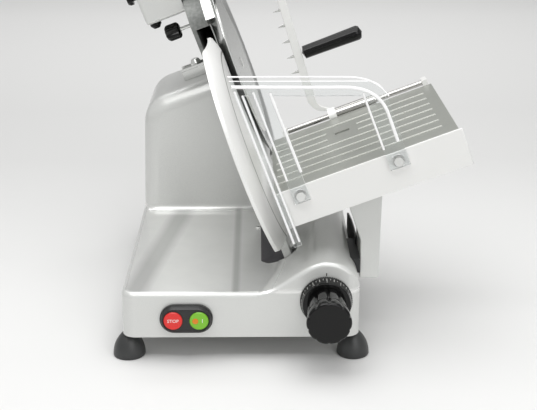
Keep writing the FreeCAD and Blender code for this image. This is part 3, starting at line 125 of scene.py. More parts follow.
# a line with its corners eased: each corner becomes a short parabola between points on its two legs
def eased(corners, reach, steps):
    corners = np.asarray(corners, float)
    share = np.linspace(0, 1, steps)[:, None]
    path = [corners[:1]]
    for before, corner, after in zip(corners, corners[1:], corners[2:]):
        back, on = before - corner, after - corner
        cut = min(reach, np.linalg.norm(back) / 2, np.linalg.norm(on) / 2)
        start = corner + back / np.linalg.norm(back) * cut
        end = corner + on / np.linalg.norm(on) * cut
        path.append((1 - share) ** 2 * start + 2 * share * (1 - share) * corner + share ** 2 * end)
    path.append(corners[-1:])
    return np.concatenate(path)


# sRGB hex to linear, and opaque: divide by 12.92 below 0.04045, else ((c + 0.055) / 1.055) to the 2.4
def linear(hexColour):
    raw = [int(hexColour[k:k + 2], 16) / 255 for k in (1, 3, 5)]
    return tuple(c / 12.92 if c <= 0.04045 else ((c + 0.055) / 1.055) ** 2.4 for c in raw) + (1.0,)


# one node with its settings, its input values and its links
def addNode(tree, kind, settings=None, values=None, links=None):
    node = tree.nodes.new(kind)
    for name, value in (settings or {}).items():
        setattr(node, name, value)
    for name, value in (values or {}).items():
        node.inputs[name].default_value = value
    for name, source in (links or {}).items():
        tree.links.new(source, node.inputs[name])
    return node


# a material with its even values on the shader's own sockets, and the object's coordinates to draw with
def newFinish(name, colour, metallic, roughness, extra=None):
    finish = bpy.data.materials.new(name)
    finish.use_nodes = True
    tree = finish.node_tree
    shader = tree.nodes["Principled BSDF"]
    even = {"Base Color": linear(colour), "Metallic": metallic, "Roughness": roughness}
    for socket, value in {**even, **(extra or {})}.items():
        shader.inputs[socket].default_value = value
    spot = addNode(tree, "ShaderNodeTexCoord")
    return finish, tree, shader, spot.outputs["Object"]


# noise with so many grains a metre along each direction: 1000 over the grain's size in millimetres
def grain(tree, spot, scale, detail, turn=(0, 0, 0)):
    held = addNode(tree, "ShaderNodeMapping", {}, {"Rotation": turn, "Scale": scale}, {"Vector": spot})
    return addNode(tree, "ShaderNodeTexNoise", {}, {"Scale": 1.0, "Detail": detail},
                   {"Vector": held.outputs["Vector"]}).outputs["Fac"]


# a straight ramp: low at start, high at end, and level beyond both; noise lies mostly from 0.3 to 0.7
def span(tree, source, low, high, start=0.3, end=0.7):
    return addNode(tree, "ShaderNodeMapRange", {},
                   {"From Min": start, "From Max": end, "To Min": low, "To Max": high},
                   {"Value": source}).outputs["Result"]


# from the first colour at a share of 0 to the second at 1
def tint(tree, share, dark, light):
    return addNode(tree, "ShaderNodeMix", {"data_type": "RGBA"}, {6: linear(dark), 7: linear(light)},
                   {0: share}).outputs[2]


# a stripe: high where a length is near its middle, falling to nothing between two distances (metres)
def stripe(tree, source, middle, high, inner, outer):
    off = addNode(tree, "ShaderNodeMath", {"operation": "SUBTRACT"}, {1: middle}, {0: source})
    off = addNode(tree, "ShaderNodeMath", {"operation": "ABSOLUTE"}, {}, {0: off.outputs["Value"]})
    return span(tree, off.outputs["Value"], high, 0, inner, outer)


# how far a place lies from a centre: the length of the one less the other, in metres
def awayFrom(tree, spot, centre):
    moved = addNode(tree, "ShaderNodeVectorMath", {"operation": "SUBTRACT"}, {1: tuple(centre)}, {0: spot})
    return addNode(tree, "ShaderNodeVectorMath", {"operation": "LENGTH"}, {},
                   {0: moved.outputs["Vector"]}).outputs["Value"]


# relief in the light alone: the surface leans as if a height of 1 stood the distance (metres) proud
def bump(tree, shader, height, strength, distance=0.0002):
    ridge = addNode(tree, "ShaderNodeBump", {}, {"Strength": strength, "Distance": distance},
                    {"Height": height})
    tree.links.new(ridge.outputs["Normal"], shader.inputs["Normal"])


enamel = {"metallic": 0.3, "roughness": 0.28, "gloss": (0.29, 0.36), "coat": 0.3, "coatRoughness": 0.1,
          "dark": "#d2d3d1", "light": "#dfe0dd", "peel": 0.05}
bareDeck = {"metallic": 0.55, "gloss": (0.16, 0.22), "relief": (0.45, 0.55),
            "dark": "#e9eae8", "light": "#f4f4f2", "paintedReflectionColour": "#aeafad", "paintedReflectionShare": 0.6, "paintedReflectionCore": 0.3,
            # it starts between these distances below its level, and fades out between these above it
            "starts": (-0.8, -0.1), "fades": (0.4, 7),
            # each painted reflection band: a level direction, how far along it the middle runs, and the half
            # width
            "paintedReflectionBands": [((0.989, -0.148, 0.0), -172.0, 22.0), ((1.0, 0.0, 0.0), -71.0, 7.0)]}


# Silver enamel baked on cast aluminium: satin, with a fine mica fleck and a slight orange peel. Where the
# casting's top lies level it is left bare and polished, so it mirrors, with long buffing lines across it;
# soft darker bands are painted on it as reflections.
def silverEnamel(name, deckLevel=None):
    finish, tree, shader, spot = newFinish(
        name, "#dcdddb", enamel["metallic"], enamel["roughness"],
        {"Coat Weight": enamel["coat"], "Coat Roughness": enamel["coatRoughness"]})
    fleck = grain(tree, spot, (2600, 2600, 2600), 1.0)       # mica flakes drawn 0.4 mm wide to show
    cloud = grain(tree, spot, (9, 9, 9), 2.0)                # slow change over about 100 mm
    colour = tint(tree, span(tree, fleck, 0, 1, 0.35, 0.65), enamel["dark"], enamel["light"])
    gloss = span(tree, cloud, *enamel["gloss"])
    height = grain(tree, spot, (420, 420, 420), 2.0)         # peel about 2.5 mm across
    if deckLevel:
        parts = addNode(tree, "ShaderNodeSeparateXYZ", {}, {}, {"Vector": spot})
        starts, fades = [[(deckLevel + rise) * mm for rise in bareDeck[part]] for part in ("starts", "fades")]
        over = span(tree, parts.outputs["Z"], 1, 0, *fades)
        under = span(tree, parts.outputs["Z"], 0, 1, *starts)
        both = addNode(tree, "ShaderNodeMath", {"operation": "MULTIPLY"}, {}, {0: over, 1: under})
        bare = both.outputs["Value"]
        buffed = grain(tree, spot, (14, 1500, 60), 3.0)      # lines 0.7 mm apart and 70 mm long
        wear = grain(tree, spot, (30, 30, 30), 3.0)
        banded = tint(tree, wear, bareDeck["dark"], bareDeck["light"])
        for direction, middle, half in bareDeck["paintedReflectionBands"]:    # painted reflections: soft darker bands, as if the polished deck mirrored darker things
            away = addNode(tree, "ShaderNodeVectorMath", {"operation": "DOT_PRODUCT"}, {1: direction},
                           {0: spot})
            # painted reflection: the band's darker colour is mixed into the deck's colour
            share = stripe(tree, away.outputs["Value"], middle * mm, bareDeck["paintedReflectionShare"],
                           half * bareDeck["paintedReflectionCore"] * mm, half * mm)
            banded = addNode(tree, "ShaderNodeMix", {"data_type": "RGBA"}, {7: linear(bareDeck["paintedReflectionColour"])},
                             {0: share, 6: banded}).outputs[2]
        colour = addNode(tree, "ShaderNodeMix", {"data_type": "RGBA"}, {},
                         {0: bare, 6: colour, 7: banded}).outputs[2]
        gloss = addNode(tree, "ShaderNodeMix", {}, {},
                        {0: bare, 2: gloss, 3: span(tree, buffed, *bareDeck["gloss"])}).outputs[0]
        metal = addNode(tree, "ShaderNodeMix", {}, {2: enamel["metallic"], 3: bareDeck["metallic"]},
                        {0: bare})
        tree.links.new(metal.outputs[0], shader.inputs["Metallic"])
        height = addNode(tree, "ShaderNodeMix", {}, {},
                         {0: bare, 2: height, 3: span(tree, buffed, *bareDeck["relief"], 0, 1)}).outputs[0]
    tree.links.new(colour, shader.inputs["Base Color"])
    tree.links.new(gloss, shader.inputs["Roughness"])
    bump(tree, shader, height, enamel["peel"])
    return finish


# Polished or plated metal, or anodised sheet: a soft mirror with fine lines along one direction.
def polishedMetal(name, colour, roughness, scale, depth=0.04, metallic=1.0):
    finish, tree, shader, spot = newFinish(name, colour, metallic, roughness)
    lines = grain(tree, spot, scale, 4.0)
    tree.links.new(span(tree, lines, roughness - 0.06, roughness + 0.07), shader.inputs["Roughness"])
    bump(tree, shader, lines, depth)
    return finish


gaugePlate = {"colour": "#f3f3f1", "paintedCreaseShade": "#8d8e8c", "face": -9, "foldY": 183.9, "foldV": -86.6,
              "foldRadius": 141.4, "paintedCreaseShadeHalf": (0.0008, 0.0022)}


# Pressed aluminium plate, brushed: satin, with painted shade: a dark arc round one centre, where the fold of
# its lip lies.
def pressedPlate():
    finish, tree, shader, spot = newFinish("brushedPlate", gaugePlate["colour"], 0.3, 0.36)
    lines = grain(tree, spot, (2600, 2600, 40), 4.0, (0, tilt, 0))   # brushing 0.4 mm apart, up the plate
    centre = atHead(gaugePlate["face"], gaugePlate["foldY"], gaugePlate["foldV"]) * mm
    away = awayFrom(tree, spot, centre)
    # painted shade: the plate's colour darkens along an arc at the fold of its lip
    paintedCreaseShade = stripe(tree, away, gaugePlate["foldRadius"] * mm, 1, *gaugePlate["paintedCreaseShadeHalf"])
    colour = tint(tree, paintedCreaseShade, gaugePlate["colour"], gaugePlate["paintedCreaseShade"])
    tree.links.new(colour, shader.inputs["Base Color"])
    tree.links.new(span(tree, lines, 0.3, 0.42), shader.inputs["Roughness"])
    bump(tree, shader, lines, 0.04)
    return finish


# Cast aluminium as it leaves the sand mould: dull, mottled and slightly pitted.
def roughCasting():
    finish, tree, shader, spot = newFinish("roughCasting", "#8b8d8b", 0.4, 0.5)
    mottle = grain(tree, spot, (220, 220, 220), 4.0)         # patches about 5 mm across
    colour = tint(tree, span(tree, mottle, 0, 1), "#7c7e7c", "#949693")
    tree.links.new(colour, shader.inputs["Base Color"])
    bump(tree, shader, mottle, 0.2, 0.0003)
    return finish


foodTable = {"dark": "#9c9e98", "cloud": "#a7a9a3", "paintedRibHighlight": "#c1c3bd", "ribHighlightDepth": (0.0004, 0.0001)}


# Anodised aluminium sheet: fine lines across, and the tops of its ribs painted lighter, a painted highlight.
def wornTable():
    finish, tree, shader, spot = newFinish("anodisedTable", foodTable["dark"], 0.55, 0.36)
    lines = grain(tree, spot, (60, 2600, 60), 4.0)           # rolling lines 0.4 mm apart
    cloud = grain(tree, spot, (14, 14, 14), 3.0)             # slow change over about 70 mm
    high = addNode(tree, "ShaderNodeVectorMath", {"operation": "DOT_PRODUCT"}, {1: tuple(upward)},
                   {0: spot})
    # painted highlight: the rib tops are coloured lighter, starting just under their top
    ribTop = (headCentre.dot(upward) - machine["tableDrop"] + machine["ribHeight"]) * mm
    paintedRibHighlight = span(tree, high.outputs["Value"], 0, 1, *[ribTop - depth for depth in foodTable["ribHighlightDepth"]])
    base = tint(tree, cloud, foodTable["dark"], foodTable["cloud"])
    mixed = addNode(tree, "ShaderNodeMix", {"data_type": "RGBA"}, {7: linear(foodTable["paintedRibHighlight"])},
                    {0: paintedRibHighlight, 6: base})
    tree.links.new(mixed.outputs[2], shader.inputs["Base Color"])
    tree.links.new(span(tree, lines, 0.3, 0.42), shader.inputs["Roughness"])
    bump(tree, shader, lines, 0.03)
    return finish


# Turned or lapped steel: fine rings round the blade's axis, drawn 0.8 mm apart to show.
def ringedSteel(name, colour, roughness):
    finish, tree, shader, spot = newFinish(name, colour, 1.0, roughness)
    away = awayFrom(tree, spot, atHead(0, machine["bladeY"], 0) * mm)
    ringsPerMetre = 1300.0
    reach = addNode(tree, "ShaderNodeMath", {"operation": "MULTIPLY"}, {1: ringsPerMetre}, {0: away})
    rings = addNode(tree, "ShaderNodeTexNoise", {"noise_dimensions": "1D"}, {"Scale": 1.0, "Detail": 3.0},
                    {"W": reach.outputs["Value"]}).outputs["Fac"]
    tree.links.new(span(tree, rings, roughness - 0.05, roughness + 0.08), shader.inputs["Roughness"])
    bump(tree, shader, rings, 0.06)
    return finish


# Moulded plastic or rubber, or paint: one colour, its gloss broken by a fine skin of so many pores a metre.
def mouldedSkin(name, colour, roughness, skin, depth, extra=None):
    finish, tree, shader, spot = newFinish(name, colour, 0.0, roughness, extra)
    pores = grain(tree, spot, (skin, skin, skin), 2.0)
    tree.links.new(span(tree, pores, roughness - 0.04, roughness + 0.06), shader.inputs["Roughness"])
    bump(tree, shader, pores, depth)
    return finish


# Clear acrylic sheet, index 1.49: see-through faces, and sawn edges left matt, which glow white.
def clearAcrylic():
    finish, tree, shader, spot = newFinish("clearAcrylic", "#fbfdfd", 0.0, 0.03,
                                           {"Transmission Weight": 1.0, "IOR": 1.49})
    wipes = grain(tree, spot, (60, 60, 200), 3.0)            # wiping marks 5 to 17 mm long
    facing = addNode(tree, "ShaderNodeNewGeometry").outputs["Normal"]
    parts = addNode(tree, "ShaderNodeSeparateXYZ", {}, {}, {"Vector": facing})
    level = addNode(tree, "ShaderNodeMath", {"operation": "ABSOLUTE"}, {}, {0: parts.outputs["Y"]})
    edge = span(tree, level.outputs["Value"], 1, 0, 0.8, 0.95)   # the sheet faces the front, its edges don't
    gloss = addNode(tree, "ShaderNodeMix", {}, {},
                    {0: edge, 2: span(tree, wipes, 0.01, 0.05), 3: span(tree, wipes, 0.35, 0.5)})
    tree.links.new(gloss.outputs[0], shader.inputs["Roughness"])
    tree.links.new(span(tree, edge, 1.0, 0.02, 0, 1), shader.inputs["Transmission Weight"])
    tree.links.new(tint(tree, edge, "#fbfdfd", "#ffffff"), shader.inputs["Base Color"])
    return finish


finishes = {
    # cast parts: enamelled, or left as cast; and a dull black that is painted shade, on the carriage parts in
    # the gap beside the casting
    "silver": silverEnamel("silverEnamel"),
    "casting": silverEnamel("silverEnamelAndBareDeck", machine["deckLevel"]),
    "rough": roughCasting(),
    "shadeBlack": mouldedSkin("blackPaintedShade", "#232425", 0.5, 900, 0.05),
    "ring": polishedMetal("polishedRing", "#dddedc", 0.22, (900, 900, 900)),
    # aluminium sheet: anodised is satin, rolled has long lines up it
    "table": wornTable(),
    "apron": polishedMetal("anodisedApron", "#ededeb", 0.42, (40, 2400, 2400), metallic=0.35),
    "plate": pressedPlate(),
    "lid": polishedMetal("sheetLid", "#c9cac8", 0.32, (1800, 1800, 50)),
    # steel: zinc plated is bright, ground and chromed a darker mirror; the blade is chromed, its cover spun
    "steel": polishedMetal("brightSteel", "#dcdddb", 0.16, (900, 900, 900), depth=0.01),
    "chrome": polishedMetal("chrome", "#b4b3b0", 0.1, (700, 700, 700), depth=0.005),
    "blade": ringedSteel("hardChromedBlade", "#dfe0df", 0.16),
    "cover": ringedSteel("spunCover", "#dcdddb", 0.27),
    # pressed and sintered bronze, slightly dull
    "bronze": polishedMetal("sinteredBronze", "#b08a4c", 0.36, (1500, 1500, 1500)),
    # phenolic moulded in polished tools: a deep gloss, with a wide faint waviness
    "phenolic": mouldedSkin("glossPhenolic", "#070707", 0.1, 300, 0.015, {"Specular IOR Level": 0.3}),
    # rubber: its fine skin spreads the light
    "rubber": mouldedSkin("mouldedRubber", "#353636", 0.38, 1500, 0.08),
    "bezel": mouldedSkin("switchRubber", "#232323", 0.36, 1200, 0.05),
    "belt": mouldedSkin("beltRubber", "#1d1d1d", 0.6, 900, 0.1),
    # ABS caps, a polycarbonate lens, and nylon and ABS left matt
    "red": mouldedSkin("redCap", "#e5302c", 0.3, 900, 0.02),
    "green": mouldedSkin("greenCap", "#7fc32e", 0.3, 900, 0.02),
    "amber": mouldedSkin("amberLens", "#e08412", 0.18, 900, 0.02),
    "grey": mouldedSkin("greyPlastic", "#5b5e60", 0.45, 1000, 0.05),
    "panel": mouldedSkin("darkPanel", "#3b393d", 0.42, 800, 0.03),
    # acrylic: clear, and a white finish for beads along its edges, which stand in as painted highlights
    "clear": clearAcrylic(),
    "highlightWhite": mouldedSkin("whiteHighlightBead", "#ffffff", 0.2, 900, 0.01, {"Coat Weight": 0.5}),
    # sprayed enamel, bonded grit 0.5 mm wide with no gloss, and screen inks
    "motor": mouldedSkin("motorEnamel", "#3c4144", 0.4, 900, 0.05),
    "stone": mouldedSkin("grindingStone", "#8d857a", 0.9, 2200, 0.5),
    "print": mouldedSkin("whitePrint", "#f4f4f2", 0.5, 900, 0.01),
    "greyPrint": mouldedSkin("greyPrint", "#a9a9a6", 0.5, 900, 0.01),
    "blackPrint": mouldedSkin("blackPrint", "#1b1b1b", 0.5, 900, 0.01),
}

nodeFinishes = {
    "casting": "base_casting",
    "rough": "blade_column",
    "silver": "sharpener_cover carriage_arm gauge_carrier",
    "table": "food_table",
    "apron": "table_apron press_arm rod_brackets",
    # the carriage block is black as painted shade in the gap beside the casting
    "shadeBlack": "carriage_block",
    "plate": "gauge_plate",
    "steel": "foot_screws gauge_screws guard_screws blade_screws cover_screw knob_shaft gauge_guide_rod "
             "blade_axle blade_bearings motor_shaft bracket_nut sharpener_post press_spikes slide_rod",
    "chrome": "press_rod press_sleeve",
    "lid": "bottom_cover belt_cover slice_deflector",
    "blade": "blade",
    "cover": "blade_cover",
    "ring": "guard_ring top_bracket blade_pulley motor_pulley",
    "phenolic": "thickness_knob index_dial tie_knob sharpener_lock_knob press_handle sharpening_button "
                "deburring_button",
    "rubber": "rubber_feet cable_gland",
    "bezel": "switch_bezel",
    "red": "stop_button",
    "green": "start_button",
    "amber": "pilot_lamp",
    "grey": "switch_body capacitor scroll_cam",
    "motor": "motor",
    "bronze": "knob_bushes slide_bushes press_bush",
    "stone": "sharpening_stone deburring_stone",
    "belt": "drive_belt",
    "clear": "hand_guard",
}


# smooth shading: welded, with edges that turn by more than the angle kept crisp
def crispEdges(angle):
    tree = bpy.data.node_groups.new("crispEdges%d" % angle, "GeometryNodeTree")
    for way in ("INPUT", "OUTPUT"):
        tree.interface.new_socket("Geometry", in_out=way, socket_type="NodeSocketGeometry")
    start = addNode(tree, "NodeGroupInput")
    weld = addNode(tree, "GeometryNodeMergeByDistance", {}, {"Distance": 0.01 * mm},
                   {"Geometry": start.outputs[0]})
    soft = addNode(tree, "GeometryNodeSetShadeSmooth", {"domain": "FACE"}, {},
                   {"Geometry": weld.outputs[0]})
    turn = addNode(tree, "GeometryNodeInputMeshEdgeAngle")
    sharp = addNode(tree, "FunctionNodeCompare", {"data_type": "FLOAT", "operation": "GREATER_THAN"},
                    {1: math.radians(angle)}, {0: turn.outputs["Unsigned Angle"]})
    hard = addNode(tree, "GeometryNodeSetShadeSmooth", {"domain": "EDGE"}, {"Shade Smooth": False},
                   {"Geometry": soft.outputs[0], "Selection": sharp.outputs[0]})
    addNode(tree, "NodeGroupOutput", {}, {}, {0: hard.outputs[0]})
    return tree


edges = {"crispAngle": 32, "evenWeight": 80, "chamferAngle": 35, "chamferSteps": 2}
edgeRule = crispEdges(edges["crispAngle"])
for finishName, names in nodeFinishes.items():
    for name in names.split():
        piece = nodes[name]
        piece.data.materials.clear()
        piece.data.materials.append(finishes[finishName])
        rule = piece.modifiers.new("crisp", "NODES")
        rule.node_group = edgeRule
        even = piece.modifiers.new("even", "WEIGHTED_NORMAL")
        even.keep_sharp = True
        even.weight = edges["evenWeight"]

# small chamfers that real edges have, put on by a modifier between the weld and the even normals
chamfers = {"food_table": 0.4, "table_apron": 0.8, "carriage_arm": 1.2, "top_bracket": 1.2,
            "rod_brackets": 1.0, "press_arm": 1.0, "blade_column": 0.8, "belt_cover": 0.4}
for name, reach in chamfers.items():
    piece = nodes[name]
    bevel = piece.modifiers.new("chamfer", "BEVEL")
    bevel.width = reach * mm
    bevel.segments = edges["chamferSteps"]
    bevel.limit_method = "ANGLE"
    bevel.angle_limit = math.radians(edges["chamferAngle"])
    piece.modifiers.move(len(piece.modifiers) - 1, 1)
print("finishes on", len(nodes), "nodes")


# profiles are (radius, distance from the casting's front)
knob = {"x": 114, "z": 88, "lobes": 10, "groove": 2.2, "grooveHalf": 5.5, "columns": 360, "corner": 2.2,
        "profile": [(6, 18.3), (26.5, 18.3), (26.5, 28), (27.2, 50), (29.4, 65), (29.4, 71.5),
                    (27.4, 74.0), (20, 74.0), (0, 73.2)],
        "grooveRadii": (19, 27), "grooveAlong": ([18, 22, 64, 74], [0.6, 1.0, 0.9, 0.5])}
knobAxis = -backward
knobCentre = atBase(knob["x"], 0, knob["z"])


# knob skin: a profile of radii, less a groove of depth 1 / (1 + (angle / half)^2)^2 between the lobes,
# which fades in over the outer radii and grows shallower at the end
def knobSkin():
    profile = eased(knob["profile"], knob["corner"], 7)
    turn = np.linspace(0, 360, knob["columns"], endpoint=False)
    pitch = 360 / knob["lobes"]
    off = (turn + pitch / 2) % pitch - pitch / 2
    groove = knob["groove"] / (1 + (off / knob["grooveHalf"]) ** 2) ** 2
    share = np.interp(profile[:, 0], knob["grooveRadii"], (0, 1))
    share = share * np.interp(profile[:, 1], *knob["grooveAlong"])
    return profile[:, 0][:, None] - share[:, None] * groove[None], profile[:, 1]


knobPiece = turnedPiece("thicknessKnob", *knobSkin(), knobCentre, knobAxis, finishes["phenolic"], "knob",
                        knob["columns"], 50)
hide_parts("thickness_knob")

dial = {"profile": [(20, 1.05), (35, 1.05), (35, 4.2), (33.9, 5.0), (31.8, 18.0), (26, 18.3), (20, 18.3)],
        "columns": 864, "corner": 0.8, "notches": 72, "notchDepth": 0.7, "notchRadii": (33.8, 34.8),
        "coneTop": 33.9, "coneStart": 5.0, "coneFall": 2.1, "coneLength": 13.0,
        "sweep": 300, "most": 18, "reading": 8,
        "ticks": 37, "tickStart": 5.6, "tickLong": (5.6, 3.2), "tickHalf": (0.5, 0.35), "tickRadius": 33.5,
        "proud": 0.12, "numberAt": 13.6, "numberRadius": 32.75, "numberSize": 4.0}


# dial: a cone from the casting to the knob, its back rim cut by fine notches, depth * max(cos, 0)^2
def dialSkin():
    profile = eased(dial["profile"], dial["corner"], 5)
    turn = np.linspace(0, 2 * math.pi, dial["columns"], endpoint=False)
    notch = np.clip(np.cos(turn * dial["notches"]), 0, 1) ** 2 * dial["notchDepth"]
    share = np.interp(profile[:, 0], dial["notchRadii"], (0, 1))
    return profile[:, 0][:, None] - share[:, None] * notch[None], profile[:, 1]


dialPiece = turnedPiece("indexDial", *dialSkin(), knobCentre, knobAxis, finishes["phenolic"], "knob",
                        dial["columns"], 50)
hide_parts("index_dial")


# dial ticks: thin tiles that follow the cone from its back rim forward, every second one shorter
def dialTicks():
    axis, one, two = sideways(knobAxis)
    count = dial["ticks"]
    start = -dial["sweep"] * dial["reading"] / dial["most"]
    turn = np.radians(np.linspace(0, dial["sweep"], count) + start)
    odd = np.arange(count) % 2
    reach = np.where(odd, dial["tickLong"][1], dial["tickLong"][0])
    half = np.where(odd, dial["tickHalf"][1], dial["tickHalf"][0])
    side = np.array([-1.0, 1.0])
    depth = np.linspace(0, 1, 4)
    shape = (count, len(side), len(depth))
    angle = turn[:, None, None] + side[None, :, None] * half[:, None, None] / dial["tickRadius"]
    angle = np.broadcast_to(angle, shape)
    height = np.broadcast_to(dial["tickStart"] + depth[None, None] * reach[:, None, None], shape)
    fall = (height - dial["coneStart"]) * dial["coneFall"] / dial["coneLength"]
    radius = dial["coneTop"] - fall + dial["proud"]
    around = np.cos(angle)[..., None] * one + np.sin(angle)[..., None] * two
    points = knobCentre + height[..., None] * axis + radius[..., None] * around
    tile = gridFaces(len(side), len(depth))
    faces = np.concatenate([tile + len(side) * len(depth) * k for k in range(count)])
    return meshPiece("dialTicks", points, faces, finishes["greyPrint"], "knob")


dialTicks()

letterThick = 0.12


# lettering: a text made a mesh, its middle at a place, across and up along two directions
def lettering(name, text, size, centre, right, up, finish, body):
    curve = bpy.data.curves.new(name + "Line", "FONT")
    curve.body = text
    curve.size = size
    curve.align_x = "CENTER"
    curve.align_y = "CENTER"
    curve.extrude = letterThick / 2
    curve.resolution_u = 4
    line = bpy.data.objects.new(name + "Line", curve)
    bpy.context.scene.collection.objects.link(line)
    bpy.context.view_layer.update()
    mesh = bpy.data.meshes.new_from_object(line)
    flat = np.zeros(len(mesh.vertices) * 3)
    mesh.vertices.foreach_get("co", flat)
    flat = flat.reshape(-1, 3)
    bpy.data.objects.remove(line)
    right, up = np.asarray(right, float), np.asarray(up, float)
    out = np.cross(right, up)
    places = (np.asarray(centre) + flat[:, :1] * right + flat[:, 1:2] * up + flat[:, 2:] * out) * mm
    mesh.vertices.foreach_set("co", places.reshape(-1))
    mesh.name = name
    mesh.materials.clear()
    mesh.materials.append(finish)
    piece = bpy.data.objects.new(name, mesh)
    bpy.context.scene.collection.objects.link(piece)
    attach(piece, body)
    return piece


# dial numbers: every second one, standing on the cone with their tops towards the casting
def dialNumbers():
    axis, one, two = sideways(knobAxis)
    for number in range(0, dial["most"] + 1, 2):
        turn = math.radians(dial["sweep"] * (number - dial["reading"]) / dial["most"])
        out = math.cos(turn) * one + math.sin(turn) * two
        aside = math.sin(turn) * one - math.cos(turn) * two
        place = knobCentre + dial["numberAt"] * axis + dial["numberRadius"] * out
        piece = lettering("dialNumber%d" % number, str(number), dial["numberSize"], place, aside, -axis,
                          finishes["greyPrint"], "knob")


dialNumbers()
print("knob and dial")


# the lip's profile is (distance from the stadium's middle line, distance from the casting's front)
switch = {"x": -72.7, "z": 63.5, "straight": 15.5, "pitch": 34.6, "face": -11.0, "proud": 0.05,
          "lip": [(19.0, 0.02), (19.95, 0.02), (19.9, 3.0), (17.3, 9.2), (16.4, 10.4), (15.4, 10.0),
                  (15.0, 8.6), (15.0, 0.02), (19.0, 0.02)],
          "corner": 1.2, "columns": 160, "wordSize": 6.4, "barSize": 7.6, "barAside": 4.6}


# bezel lip: a profile carried round a stadium, the set of points at one distance from a short line
def stadiumPiece(name, profile, columns, finish, body):
    turn = np.linspace(0, 2 * math.pi, columns, endpoint=False)
    side = np.where(np.cos(turn) >= 0, 1.0, -1.0) * switch["straight"]
    x = switch["x"] + side[None] + profile[:, :1] * np.cos(turn)[None]
    z = switch["z"] + profile[:, :1] * np.sin(turn)[None]
    y = -np.repeat(profile[:, 1:], columns, 1)
    faces = gridFaces(len(profile), columns, True, True)
    return meshPiece(name, atBase(x, y, z), faces, finish, body, crisp=60)


lip = stadiumPiece("bezelLip", eased(switch["lip"], switch["corner"], 6), switch["columns"],
                   finishes["bezel"], "frame")
onStop, onStart = [atBase(switch["x"] + aside, switch["face"] - switch["proud"], switch["z"])
                   for aside in (-switch["pitch"] / 2, switch["pitch"] / 2 + switch["barAside"])]
toRight, toTop = (1, 0, 0), (0, 0, 1)
stopWord = lettering("stopWord", "STOP", switch["wordSize"], onStop, toRight, toTop, finishes["print"],
                     "stop")
startBar = lettering("startBar", "I", switch["barSize"], onStart, toRight, toTop, finishes["print"],
                     "start")
print("switch")


# the sole's edge is (in from the widest radius, height)
feet = {"x": 153, "front": 22, "back": 488, "high": 34.95, "wide": 22.0, "neck": 6.4, "swell": 2.4,
        "hollow": 0.6, "edge": [(4, 0.3), (2.6, 0.0), (0.9, 0.35)]}


# bell foot: radius = neck + (wide - neck) * (1 - (height / high)^swell), eased at the floor
def bellFeet():
    rise = np.linspace(0, 1, 22)[1:]
    wide, neck, high = feet["wide"], feet["neck"], feet["high"]
    bell = np.stack([neck + (wide - neck) * (1 - rise ** feet["swell"]), rise * high], -1)
    sole = [(0, feet["hollow"])] + [(wide - inwards, rise) for inwards, rise in feet["edge"]]
    profile = np.concatenate([sole, bell, [(0, high)]])
    places = [(side * feet["x"], y) for y in (feet["front"], feet["back"]) for side in (-1, 1)]
    for number, (x, y) in enumerate(places):
        foot = turnedPiece("rubberFoot%d" % number, profile[:, 0], profile[:, 1], atBase(x, y, 0),
                           (0, 0, 1), finishes["rubber"], "frame", 72, 60)
        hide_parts("rubber_feet")


bellFeet()
print("feet")


handle = {"start": 93.0, "y": 288, "v": -6, "length": 94, "thin": 9.7, "thick": 11.1, "swell": 1.4,
          "startRound": 2.2, "endRound": 7.5}


# handle: radius grows slowly with length, both ends rounded by a quarter ellipse
def gripProfile():
    along = np.linspace(0, 1, 30)
    radius = handle["thin"] + (handle["thick"] - handle["thin"]) * along ** handle["swell"]
    start = np.clip(along * handle["length"] / handle["startRound"], 0, 1)
    end = np.clip((1 - along) * handle["length"] / handle["endRound"], 0, 1)
    radius = radius * np.sqrt(1 - (1 - start) ** 2) * np.sqrt(1 - (1 - end) ** 2)
    return radius, along * handle["length"]


gripStart = atHead(handle["start"], handle["y"], handle["v"])
grip = turnedPiece("pressHandle", *gripProfile(), gripStart, across, finishes["phenolic"], "press", 72, 60)
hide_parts("press_handle")

tie = {"y": 360, "v": 80, "knobStart": -72, "lobes": 6, "lobeDepth": 3.2, "columns": 144, "corner": 2.0,
       "profile": [(0, 0), (9, 0), (12.9, 3), (12.9, 20), (9, 24), (0, 24)], "lobeRadii": (5, 10),
       "rodStart": -42.2, "rod": ([0, 2.95, 2.95, 0], [0, 0, 30, 30])}


# tie knob: radius = profile - depth * (1 - cos(lobes * t)) / 2, only where the profile is wide
def tieSkin():
    profile = eased(tie["profile"], tie["corner"], 6)
    turn = np.linspace(0, 2 * math.pi, tie["columns"], endpoint=False)
    share = np.interp(profile[:, 0], tie["lobeRadii"], (0, 1))
    waist = tie["lobeDepth"] * (1 - np.cos(turn * tie["lobes"])) / 2
    return profile[:, 0][:, None] - share[:, None] * waist[None], profile[:, 1]


tieKnob = turnedPiece("tieKnob", *tieSkin(), atHead(tie["knobStart"], tie["y"], tie["v"]), -across,
                      finishes["phenolic"], "tie", tie["columns"], 60)
tieRod = turnedPiece("tieRod", *tie["rod"], atHead(tie["rodStart"], tie["y"], tie["v"]), -across,
                     finishes["steel"], "tie", 36, 40)
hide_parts("tie_knob")
print("handle and knobs")


# the panel's soft edge: the share of its size, and the share of its rise
deck = {"panel": [(28, 273), (28, 112), (38, 104), (80, 126), (86, 134), (99, 195), (101, 237)],
        "rise": 0.35, "edge": [(0.997, 0.7), (0.99, 1), (0.0, 1)], "corner": 4.0, "cornerSteps": 8,
        "seat": 0.02, "screw": (23.7, 247),
        "screwProfile": ([0, 4.2, 4.2, 3.4, 0], [0, 0, 0.8, 1.8, 2.3])}


